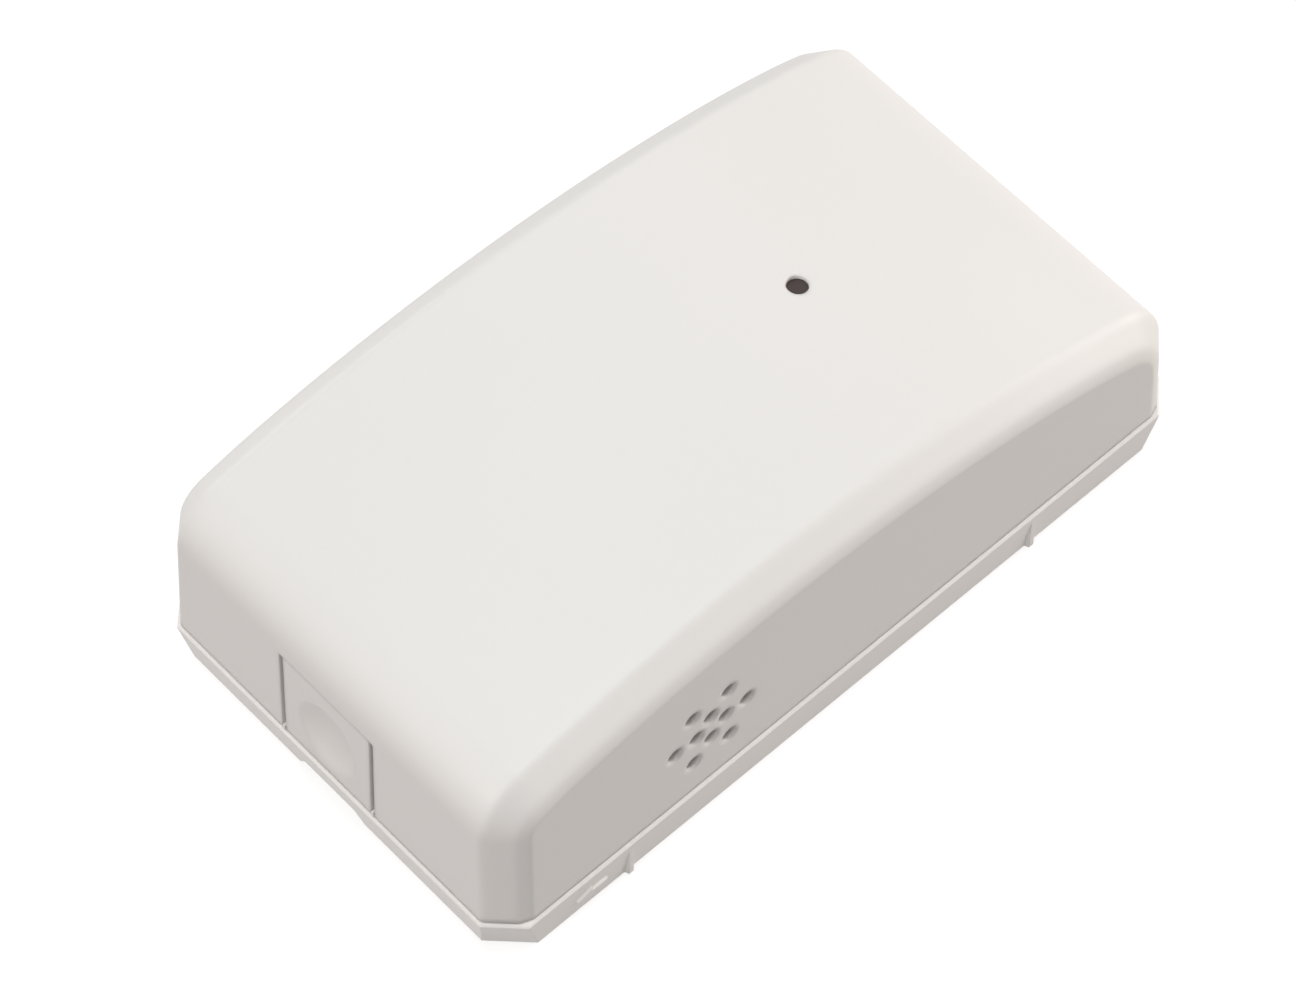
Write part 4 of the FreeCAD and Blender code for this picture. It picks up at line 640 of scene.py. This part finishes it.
ROUTES = (
    ((15.4, -9.7), (14.7, -9.5)), ((15.4, -10.5), (14.7, -11.5)), ((15.4, -12.9), (14.7, -13.5)),
    ((15.4, -14.5), (14.7, -15.5)), ((17.2, -7.9), (14.7, -6.1)), ((18.0, -7.9), (16.9, -6.1)),
    ((18.8, -7.9), (19.1, -6.1)), ((20.4, -7.9), (21.3, -6.1)), ((22.0, -7.9), (23.5, -6.1)),
    ((12.5, -4.3), (9.9, -3.6)), ((16.9, -4.3), (16.3, -1.6)), ((19.1, -4.3), (18.1, -1.6)),
    ((21.3, -4.3), (24.4, 5.0)), ((23.5, -4.3), (27.6, 5.0)), ((24.6, -9.7), (31.0, 5.0)),
    ((24.6, -10.5), (33.5, 5.0)), ((24.6, -12.9), (27.2, -14.4)), ((24.6, -13.7), (27.8, -17.6)),
    ((17.2, -17.1), (12.6, -19.0)), ((18.8, -17.1), (5.2, -19.8)), ((20.4, -17.1), (-6.0, -20.5)),
    ((22.0, -17.1), (24.4, -20.4)), ((19.4, 4.0), (21.9, 5.6)), ((19.4, 6.1), (21.9, 7.6)),
    ((19.4, 8.2), (21.9, 9.6)), ((19.4, 10.3), (21.9, 11.6)), ((17.6, 4.0), (15.6, 2.2)),
    ((4.7, -8.5), (7.4, -5.6)), ((4.7, -10.5), (13.1, -9.5)), ((4.7, -12.5), (13.1, -11.5)),
    ((4.7, -14.5), (5.4, -15.4)), ((2.9, -8.5), (-14.0, -4.0)), ((2.9, -10.5), (-0.4, -9.6)),
    ((2.9, -14.5), (1.4, -17.5)), ((-8.6, -11.5), (-4.8, -12.0)), ((-8.6, -13.5), (-4.8, -14.0)),
    ((-8.6, -15.5), (-3.2, -17.2)), ((-10.4, -11.5), (-18.4, -13.2)), ((-10.4, -15.5), (-14.0, -13.8)),
    ((-21.2, -13.2), (-29.0, -5.0)), ((-32.6, -9.5), (-30.6, -2.0)), ((-32.6, -7.0), (-32.0, 6.0)),
    ((-32.6, -12.0), (-33.0, -18.6)), ((-30.6, -18.6), (-26.4, -12.0)), ((-26.0, 3.0), (-26.0, 16.0)),
    ((33.0, 20.8), (31.0, 17.5)), ((-30.6, -2.0), (-2.0, -0.6)), ((-2.0, -0.6), (13.0, -1.2)),
    ((36.0, 6.0), (38.0, 14.0)), ((-36.0, 10.0), (-30.0, 14.0)),
)
VIAS = ((9.9, -1.2), (-14.0, -4.0), (-29.0, -5.0), (-26.4, -12.0), (27.8, -17.6), (-6.0, -20.5),
        (24.4, -20.4), (27.2, -14.4), (-32.0, 6.0), (-26.0, 3.0), (5.2, -19.8), (12.6, -19.0),
        (1.4, -17.5), (-26.0, 16.0), (38.0, 14.0), (-30.0, 14.0), (15.6, 2.2),
        (36.0, 6.0), (-36.0, 10.0), (13.0, -1.2), (-3.2, -17.2), (37.5, -8.0), (-38.0, -16.0))


def board_tracks():
    """Copper tracks that show as raised lines under the green resist."""
    work = bmesh.new()
    for start, end in ROUTES:
        band(work, elbow(start, end), TRACK_WIDE, BOARD_TOP - SUNK, BOARD_TOP + TRACK_TALL)
    for y in (-21.5, 21.5):
        band(work, [(-40.2, y), (-37.0, y), (24.0, y)], EDGE_TRACK_WIDE,
             BOARD_TOP - SUNK, BOARD_TOP + TRACK_TALL)
    piece("board_tracks", work, "tracks")


def board_pads():
    """Tinned rings round the through holes, screw lands and the solder of the antenna and capsule."""
    work = bmesh.new()

    def on_board(x, y, profile, steps):
        turned(work, profile, Matrix.Translation((x, y, BOARD_TOP)), steps)

    for x, y in VIAS:
        on_board(x, y, [(0.16, -SUNK), (0.2, 0.05), (0.36, 0.05), (0.42, -SUNK)], 20)
    for low, high in solids_of("board_screws"):
        on_board((low.x + high.x) / 2, (low.y + high.y) / 2,
                 [(1.25, -SUNK), (1.3, 0.04), (2.75, 0.04), (2.8, -SUNK)], 40)
    low, high = node_box("antenna_wire")
    on_board(high.x - 0.4, (low.y + high.y) / 2,
             [(1.15, -SUNK), (1.1, 0.08), (0.75, 0.28), (0.52, 0.7), (0.44, 1.1), (0.36, 1.1)], 24)
    low, high = node_box("microphone_capsule")
    for side in (-1.27, 1.27):
        on_board((low.x + high.x) / 2 + side, high.y - 0.25,
                 [(0.85, -SUNK), (0.8, 0.07), (0.55, 0.26), (0.4, 0.62), (0.2, 0.62)], 24)
    piece("board_pads", work, "solder")


def board_print():
    """White outlines of the parts and plus and minus signs, with no words."""
    work = bmesh.new()

    def line(points, width, closed=False):
        band(work, points, width, BOARD_TOP - SUNK, BOARD_TOP + PRINT_TALL, closed)

    def outline(low, high, gap=0.35, width=PRINT_WIDE):
        x0, y0, x1, y1 = low.x - gap, low.y - gap, high.x + gap, high.y + gap
        line([(x0, y0), (x1, y0), (x1, y1), (x0, y1)], width, closed=True)

    for node in ("battery_holder", "radio_shield", "crystal", "microcontroller", "indicator_led",
                 "jumper_header", "tamper_switch_body", "learn_switch_body"):
        outline(*node_box(node))
    for node in ("chip_resistors", "chip_capacitors"):
        for low, high in solids_of(node):
            outline(low, high, 0.42, 0.12)
    can, ring, steps = middle_of("electrolytic_capacitor"), 3.7, 40
    line([(can.x + ring * math.cos(a), can.y + ring * math.sin(a))
          for a in (2 * math.pi * n / steps for n in range(steps))], PRINT_WIDE, closed=True)
    arm, stroke = 0.7, 0.2
    for x, y, plus in ((can.x - 4.6, can.y + 2.6, True), (17.0, 18.6, False), (-26.6, 18.6, True)):
        line([(x - arm, y), (x + arm, y)], stroke)
        if plus:
            line([(x, y - arm), (x, y + arm)], stroke)
    chip = middle_of("microcontroller")
    turned(work, [(0.0, 0.05), (0.3, 0.05), (0.34, -SUNK)],
           Matrix.Translation((chip.x - 5.4, chip.y + 3.4, BOARD_TOP)), 20)
    piece("board_print", work, "print")


# Parts on the board

def carved(item, cutters):
    """Takes cutters out of a piece and keeps the result as its mesh."""
    for cutter in cutters:
        change = item.modifiers.new("carve", "BOOLEAN")
        change.operation = "DIFFERENCE"
        change.solver = "EXACT"
        change.object = cutter
    bpy.context.view_layer.update()
    graph = bpy.context.evaluated_depsgraph_get()
    result = bpy.data.meshes.new_from_object(item.evaluated_get(graph))
    item.modifiers.clear()
    item.data = result
    for cutter in cutters:
        bpy.data.objects.remove(cutter)


def board_screw_set():
    """Pan head screws with a cross recess and a rolled thread."""
    low, high = node_box("board_screws")
    places = [Vector(((a.x + b.x) / 2, (a.y + b.y) / 2, BOARD_TOP)) for a, b in solids_of("board_screws")]
    head, tall = 2.1, high.z - BOARD_TOP
    shank, depth, pitch = 0.9, BOARD_TOP - low.z, 0.8
    first_turn = 0.35
    work = bmesh.new()
    for spot in places:
        turned(work, [(0.0, tall), (0.9, tall - 0.02), (1.5, tall - 0.16), (1.9, tall - 0.45),
                      (head, tall - 0.8), (head, 0.1), (head - 0.1, 0.0), (shank - 0.15, 0.0),
                      (shank - 0.15, -depth + 0.7), (0.0, -depth)], Matrix.Translation(spot), 48)
    screws = piece("board_screw_set", work, "screw")
    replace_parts(screws, "board_screws")
    cutters = []
    for spot in places:
        for turn in (first_turn, first_turn + math.pi / 2):
            slot = bmesh.new()
            outline = [(-1.05, -0.2), (1.05, -0.2), (1.05, 0.2), (-1.05, 0.2)]
            place = Matrix.Translation(spot + Vector((0, 0, tall))) @ Matrix.Rotation(turn, 4, "Z")
            foot = [slot.verts.new((place @ Vector((x * 0.35, y * 0.7, -0.95))) * MM) for x, y in outline]
            crown = [slot.verts.new((place @ Vector((x * 1.05, y * 1.1, 0.1))) * MM) for x, y in outline]
            lofted(slot, [foot, crown])
            bmesh.ops.recalc_face_normals(slot, faces=slot.faces)
            mesh = bpy.data.meshes.new("recess")
            slot.to_mesh(mesh)
            slot.free()
            cutters.append(linked(f"recess_{len(cutters)}", mesh))
    carved(screws, cutters)
    threads = bmesh.new()
    for spot in places:
        rolled_thread(threads, spot, shank, pitch, depth)
    piece("board_screw_threads", threads, "screw")


def rolled_thread(work, spot, radius, pitch, depth):
    """The ridge of a screw thread, from under the head to near the point."""
    steps, plain, core, run_out = 24, 0.5, radius - 0.2, 0.16
    count = int((depth - 2 * plain) / pitch * steps)
    rows = []
    for n in range(count + 1):
        angle = 2 * math.pi * n / steps
        z = spot.z - plain - pitch * n / steps
        crest = radius if n < count - steps else radius - run_out * (n - count + steps) / steps
        rows.append([work.verts.new((spot.x + r * math.cos(angle), spot.y + r * math.sin(angle), z + lift))
                     for r, lift in ((core, 0.26), (crest, 0.03), (crest, -0.03), (core, -0.26))])
    bridge(work, rows, around=False)


def microcontroller_package():
    """Moulded square package with a pin one dimple, and its bent legs."""
    low, high = node_box("microcontroller")
    centre = (low + high) / 2
    reach, cut = 1.0, 0.35
    side = (high.x - low.x) / 2 - reach
    foot, top = BOARD_TOP + 0.15, high.z
    part_line = (foot + top) / 2
    work = bmesh.new()
    sections = ((side - 0.28, foot), (side, part_line), (side - 0.28, top - 0.06), (side - 0.36, top))
    rings = []
    for half, z in sections:
        corners = [(half, half - cut), (half - cut, half), (-half + cut, half), (-half, half - cut),
                   (-half, -half + cut), (-half + cut, -half), (half - cut, -half), (half, -half + cut)]
        rings.append([work.verts.new((centre.x + x, centre.y + y, z)) for x, y in corners])
    lofted(work, rings)
    dimple = Matrix.Translation((centre.x - side + 1.1, centre.y + side - 1.1, top))
    turned(work, [(0.0, 0.004), (0.32, 0.004), (0.36, 0.012), (0.4, 0.0)], dimple, 24)
    package = piece("microcontroller_package", work, "chip", crease=24.0)
    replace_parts(package, "microcontroller")
    legs = bmesh.new()
    line = [(side - 0.1, 0.72), (side + 0.22, 0.72), (side + 0.36, 0.64), (side + 0.48, 0.2),
            (side + 0.58, 0.1), (side + reach, 0.1)]
    legs_a_side, pitch = 8, 0.8
    for turn in quarter_turns(Vector((centre.x, centre.y, BOARD_TOP))):
        for n in range(legs_a_side):
            shift = (n - (legs_a_side - 1) / 2) * pitch
            leg(legs, line, 0.34, 0.16, turn @ Matrix.Translation((0, shift, 0)))
    piece("microcontroller_legs", legs, "solder")


def switch_frame(tag):
    """Stamped lid with four melted pegs, and the bent legs of a push switch."""
    low, high = node_box(tag + "_switch_body")
    centre = (low + high) / 2
    half = (high.y - low.y) / 2 - 0.06
    steps, bore, corner = 40, 1.85, half * 1.30
    under, over = high.z, high.z + 0.2
    work = bmesh.new()
    rows = []
    for n in range(steps):
        angle = 2 * math.pi * (n + 0.5) / steps
        way = Vector((math.cos(angle), math.sin(angle)))
        edge = min(half / max(abs(way.x), abs(way.y)), corner)
        rows.append([work.verts.new((centre.x + way.x * reach, centre.y + way.y * reach, z))
                     for reach, z in ((bore, under), (bore, over), (edge, over), (edge, under))])
    bridge(work, rows + rows[:1])
    for turn in quarter_turns(Vector((centre.x, centre.y, BOARD_TOP)))[::2]:
        for shift in (-2.25, 2.25):
            leg(work, [(2.98, 1.1), (3.12, 1.0), (3.16, 0.5), (3.3, 0.17), (3.9, 0.17)], 1.04, 0.34,
                turn @ Matrix.Translation((0, shift, 0)))
    piece(tag + "_switch_frame", work, "lid")
    pegs = bmesh.new()
    for sx in (-1, 1):
        for sy in (-1, 1):
            spot = Matrix.Translation((centre.x + sx * 2.2, centre.y + sy * 2.2, over))
            turned(pegs, [(0.0, 0.16), (0.25, 0.14), (0.42, 0.07), (0.46, -0.03)], spot, 20)
    piece(tag + "_switch_pegs", pegs, "switch")


def cell_dressing():
    """Shrink sleeve that folds over the cell's ends, with plain plus and minus signs."""
    low, high = node_box("battery_cell")
    centre = (low + high) / 2
    radius = (high.z - low.z) / 2
    button = 1.2
    left, right = low.x + button - centre.x, high.x - centre.x
    turn = Matrix.Translation(centre) @ Matrix.Rotation(math.pi / 2, 4, "Y")
    work = bmesh.new()
    turned(work, [(radius - 2.0, left - 0.07), (radius - 1.2, left - 0.06), (radius - 0.72, left + 0.02),
                  (radius - 0.02, left + 0.74), (radius + 0.06, left + 0.95), (radius + 0.06, -6.0),
                  (radius + 0.06, 6.0), (radius + 0.06, right - 0.22), (radius - 0.04, right + 0.04),
                  (radius - 1.5, right + 0.06)], turn, 72)
    piece("cell_sleeve", work, "sleeve")
    signs = bmesh.new()
    arm, stroke, steps, lean, out = 2.4, 0.55, 8, 0.35, radius + 0.085
    for x, strokes in ((left + 4.0, ((arm, stroke), (stroke, arm))), (right - 3.6, ((arm, stroke),))):
        for wide, tall in strokes:
            rows = []
            for n in range(steps + 1):
                angle = math.pi / 2 - (n / steps - 0.5) * tall / radius - lean
                rows.append([signs.verts.new((centre.x + x + side * wide / 2,
                                              centre.y + out * math.cos(angle),
                                              centre.z + out * math.sin(angle)))
                             for side in (-1, 1)])
            bridge(signs, rows, around=False)
    piece("cell_signs", signs, "print")


def holder_signs():
    """Raised plus and minus on the top of the holder's end walls."""
    low, high = node_box("battery_holder")
    y = (low.y + high.y) / 2
    inset, arm, stroke = 0.65, 0.45, 0.2
    work = bmesh.new()
    for x, plus in ((low.x + inset, True), (high.x - inset, False)):
        lines = [[(x, y - arm), (x, y + arm)]] + ([[(x - arm, y), (x + arm, y)]] if plus else [])
        for points in lines:
            band(work, points, stroke, high.z - 0.02, high.z + 0.1)
    piece("holder_signs", work, "sign")


def microphone_felt():
    """Felt disc on the capsule's face, slightly crowned."""
    low, high = node_box("microphone_capsule")
    capsule_radius = 4.85
    face = Vector(((low.x + high.x) / 2, low.y, high.z - capsule_radius))
    work = bmesh.new()
    turned(work, [(0.0, 0.22), (1.6, 0.21), (3.2, 0.17), (4.0, 0.12), (4.15, 0.05), (4.2, -0.02)],
           facing(face, (0, -1, 0)), 48)
    piece("microphone_felt", work, "felt")


def capacitor_dressing():
    """Sleeve over the capacitor's can, its pale stripe with dashes, and the scored top, drawn as strips of
    darker metal whose colour is painted shade for the pressed grooves.
    """
    low, high = node_box("electrolytic_capacitor")
    centre = (low + high) / 2
    radius, tall = (high.x - low.x) / 2, high.z - low.z
    place = Matrix.Translation((centre.x, centre.y, low.z))
    work = bmesh.new()
    turned(work, [(radius + 0.05, 0.08), (radius + 0.05, 1.5), (radius - 0.2, 1.78), (radius - 0.2, 2.0),
                  (radius + 0.05, 2.28), (radius + 0.05, tall - 0.2), (radius - 0.05, tall + 0.04),
                  (radius - 0.6, tall + 0.06)], place, 56)
    piece("capacitor_sleeve", work, "capacitor_sleeve")
    marks = bmesh.new()

    def patch(first, last, bottom, top, steps=6, out=radius + 0.075):
        rows = []
        for n in range(steps + 1):
            angle = first + (last - first) * n / steps
            rows.append([marks.verts.new(place @ Vector((out * math.cos(angle), out * math.sin(angle), z)))
                         for z in (top, bottom)])
        bridge(marks, rows, around=False)

    for bottom, top in ((2.4, 3.1), (3.7, 4.5), (5.1, 6.0)):
        patch(-2.2, -1.4, bottom, top)
    patch(-2.3, -1.3, tall - 0.75, tall - 0.25)
    piece("capacitor_stripe", marks, "stripe")
    # The score lines are thin strips in the darker lid metal, painted shade in place of pressed grooves.
    score_shade_strips = bmesh.new()
    half_line, first_turn = 2.0, 0.3
    for turn in (first_turn, first_turn + math.pi / 2):
        way = Vector((math.cos(turn), math.sin(turn))) * half_line
        band(score_shade_strips, [-way, way], 0.16, tall - 0.02, tall + 0.02, place=place)
    piece("capacitor_score_painted_shade", score_shade_strips, "lid")


def chip_part_set(node, name, finish):
    """Chip parts with wrapped tin ends and solder fillets."""
    bodies, ends = bmesh.new(), bmesh.new()
    for low, high in solids_of(node):
        span, centre = high - low, (low + high) / 2
        turn = Matrix.Translation((centre.x, centre.y, BOARD_TOP))
        if span.y > span.x:
            turn = turn @ Matrix.Rotation(math.pi / 2, 4, "Z")
        long, wide, tall = max(span.x, span.y) / 2, min(span.x, span.y) / 2, span.z
        before = set(bodies.verts)
        block(bodies, (-long + 0.22, -wide + 0.02, 0.04), (long - 0.22, wide - 0.02, tall - 0.01), 0.04)
        bmesh.ops.transform(bodies, matrix=turn, verts=[v for v in bodies.verts if v not in before])
        before = set(ends.verts)
        for side in (-1, 1):
            x0, x1 = sorted((side * (long - 0.3), side * long))
            block(ends, (x0, -wide, 0.02), (x1, wide, tall), 0.05)
            leg(ends, [(side * (long - 0.02), tall * 0.62), (side * (long + 0.1), tall * 0.3),
                       (side * (long + 0.36), 0.03)], wide * 1.9, 0.1, Matrix.Identity(4))
            x0, x1 = sorted((side * (long - 0.1), side * (long + 0.4)))
            block(ends, (x0, -wide - 0.08, -SUNK), (x1, wide + 0.08, 0.06), 0.02)
        bmesh.ops.transform(ends, matrix=turn, verts=[v for v in ends.verts if v not in before])
    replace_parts(piece(name, bodies, finish), node)
    piece(name + "_ends", ends, "solder")


def antenna_lead():
    """The stiff wire as one smooth bend, with a small hand-made wave in its long run."""
    low, high = node_box("antenna_wire")
    y = (low.y + high.y) / 2
    radius = (high.y - low.y) / 2
    run = high.z - radius
    foot, tip = high.x - radius, low.x
    route = [(foot, y, BOARD_TOP), (foot, y, BOARD_TOP + 3.0), (foot, y, run - 0.4), (foot - 0.8, y, run),
             (foot - 6.0, y, run), (foot - 22.0, y - 0.12, run + 0.08), (foot - 42.0, y + 0.1, run - 0.1),
             (tip, y, run)]
    curve = bpy.data.curves.new("antenna_lead", "CURVE")
    curve.dimensions = "3D"
    curve.bevel_depth = radius * MM
    curve.bevel_resolution = 4
    curve.resolution_u = 10
    curve.use_fill_caps = True
    spline = curve.splines.new("NURBS")
    spline.points.add(len(route) - 1)
    for point, spot in zip(spline.points, route):
        point.co = (*(Vector(spot) * MM), 1.0)
    spline.order_u = 3
    spline.use_endpoint_u = True
    curve.materials.append(FINISH["wire"])
    item = linked("antenna_lead", curve)
    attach(item, "base")
    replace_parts(item, "antenna_wire")


def shield_seams():
    """Folded corner seams and solder tabs of the radio's can."""
    low, high = node_box("radio_shield")
    tall = high.z - low.z
    half_tab, out, tab_tall = 0.7, 0.3, 0.28
    work = bmesh.new()
    for x in (low.x, high.x):
        for y in (low.y, high.y):
            turned(work, [(0.0, tall - 0.02), (0.16, tall - 0.1), (0.2, 0.4), (0.55, -SUNK)],
                   Matrix.Translation((x, y, BOARD_TOP)), 20)
    for y in (low.y, high.y):
        for share in (0.3, 0.7):
            x = low.x + (high.x - low.x) * share
            block(work, (x - half_tab, y - out, BOARD_TOP - SUNK),
                  (x + half_tab, y + out, BOARD_TOP + tab_tall), 0.12)
    piece("shield_seams", work, "solder")


arrow_on_base()
cover_ejector_marks()
board_tracks()
board_pads()
board_print()
board_screw_set()
microcontroller_package()
switch_frame("tamper")
switch_frame("learn")
cell_dressing()
holder_signs()
microphone_felt()
capacitor_dressing()
chip_part_set("chip_resistors", "resistor_set", "resistor")
chip_part_set("chip_capacitors", "ceramic_set", "ceramic")
antenna_lead()
shield_seams()


# Stage, lamps and camera

LAMP_SIDE = 0.5
LAMP_AIM = Vector((0, 0, 0.01))
# Name, place in metres, power in watts, colour
LAMPS = (
    ("overhead", (0.0, 0.0, 1.0), 3.5, (0.83, 0.955, 1.0)),
    ("tab_side", (-0.8, 0.0, 0.55), 3.1, (1.0, 0.935, 0.90)),
    ("far_side", (0.9, -0.35, 0.2), 6.4, (1.0, 0.905, 0.845)),
    ("front", (-0.42, -0.28, 0.86), 1.2, (1.0, 0.93, 0.89)),
    ("back_fill", (0.15, 0.95, 0.28), 2.2, (1.0, 0.95, 0.92)),
)


def new_light(name, place, watts, colour):
    """A square soft box that looks at the object."""
    data = bpy.data.lights.new(name, "AREA")
    data.shape = "SQUARE"
    data.size = LAMP_SIDE
    data.energy = watts
    data.color = colour
    lamp = linked(name, data)
    lamp.location = place
    lamp.rotation_mode = "QUATERNION"
    lamp.rotation_quaternion = (LAMP_AIM - Vector(place)).to_track_quat("-Z", "Y")


def seen_rays(tree):
    """1 for rays that show the room to the camera, straight or by way of metal and glass."""
    rays = tree.nodes.new("ShaderNodeLightPath").outputs
    mirrored = math_node(tree, "MAXIMUM", rays["Is Glossy Ray"], rays["Is Transmission Ray"])
    return math_node(tree, "MAXIMUM", rays["Is Camera Ray"], mirrored)


WHITE_LIGHT = (1.0, 1.0, 1.0)
FLOOR_REACH = 6.0  # metres from the middle to the floor's edges
FLOOR_DROP = 0.0002  # metres from the object's back down to the floor
FLOOR_GREY = ((0.30,) * 3, (0.32,) * 3)
FLOOR_GLOW = (0.78,) * 3  # near the object, where the lamps light the floor too
GLOW_FROM, GLOW_TO = 0.2, 0.8  # metres from the middle, between which the glow grows to white
ROOM_LIGHT = (1.0, 0.885, 0.815)
ROOM_STRENGTH = 0.28


def stage():
    """Pale floor that shows white to the camera, and keeps the shadow."""
    mesh = bpy.data.meshes.new("floor")
    reach = FLOOR_REACH
    mesh.from_pydata([(-reach, -reach, 0), (reach, -reach, 0), (reach, reach, 0), (-reach, reach, 0)],
                     [], [(0, 1, 2, 3)])
    floor = linked("floor", mesh)
    floor.location.z = -FLOOR_DROP
    material, tree, shader = new_material("pale floor", Roughness=0.9, Specular_IOR_Level=0.0,
                                          Emission_Strength=1.0)
    seen = seen_rays(tree)
    away = tree.nodes.new("ShaderNodeVectorMath")
    away.operation = "LENGTH"
    tree.links.new(tree.nodes.new("ShaderNodeTexCoord").outputs["Object"], away.inputs[0])
    glow = ramp(tree, away.outputs["Value"], FLOOR_GLOW, WHITE_LIGHT, GLOW_FROM, GLOW_TO)
    connect(tree, shader, Base_Color=ramp(tree, seen, *FLOOR_GREY),
            Emission_Color=mixed(tree, seen, (0.0, 0.0, 0.0), glow))
    mesh.materials.append(material)


def world():
    """White where the camera looks past the floor, dimmer where it lights the object."""
    made = bpy.data.worlds.new("room")
    bpy.context.scene.world = made
    made.use_nodes = True
    tree = made.node_tree
    back = tree.nodes["Background"]
    seen = seen_rays(tree)
    connect(tree, back, Strength=spread(tree, seen, ROOM_STRENGTH, 1.0),
            Color=ramp(tree, seen, ROOM_LIGHT, WHITE_LIGHT))


CAMERA_AZ, CAMERA_EL, CAMERA_ROLL = -42.89, 58.70, 0.28  # degrees
CAMERA_AIM = Vector((-4.319, -0.425, 12.0)) * MM
CAMERA_FAR = 581.3 * MM
PHOTO_WIDE, PHOTO_FOCAL = 1296, 5518.3  # pixels


def camera():
    """Camera at the photograph's viewing angle."""
    data = bpy.data.cameras.new("camera")
    data.sensor_fit = "HORIZONTAL"
    data.sensor_width = 36.0
    data.lens = PHOTO_FOCAL / PHOTO_WIDE * data.sensor_width
    data.clip_start, data.clip_end = 0.01, 20.0
    item = linked("camera", data)
    az, el, roll = (math.radians(a) for a in (CAMERA_AZ, CAMERA_EL, CAMERA_ROLL))
    back = Vector((math.sin(az) * math.cos(el), -math.cos(az) * math.cos(el), math.sin(el)))
    right = Vector((math.cos(az), math.sin(az), 0.0))
    up = back.cross(right)
    side = right * math.cos(roll) + up * math.sin(roll)
    top = up * math.cos(roll) - right * math.sin(roll)
    turn = Matrix((side, top, back)).transposed()
    item.matrix_world = Matrix.Translation(CAMERA_AIM + back * CAMERA_FAR) @ turn.to_4x4()
    bpy.context.scene.camera = item


stage()
world()
camera()
for lamp_row in LAMPS:
    new_light(*lamp_row)
bpy.context.scene.view_settings.view_transform = "Standard"
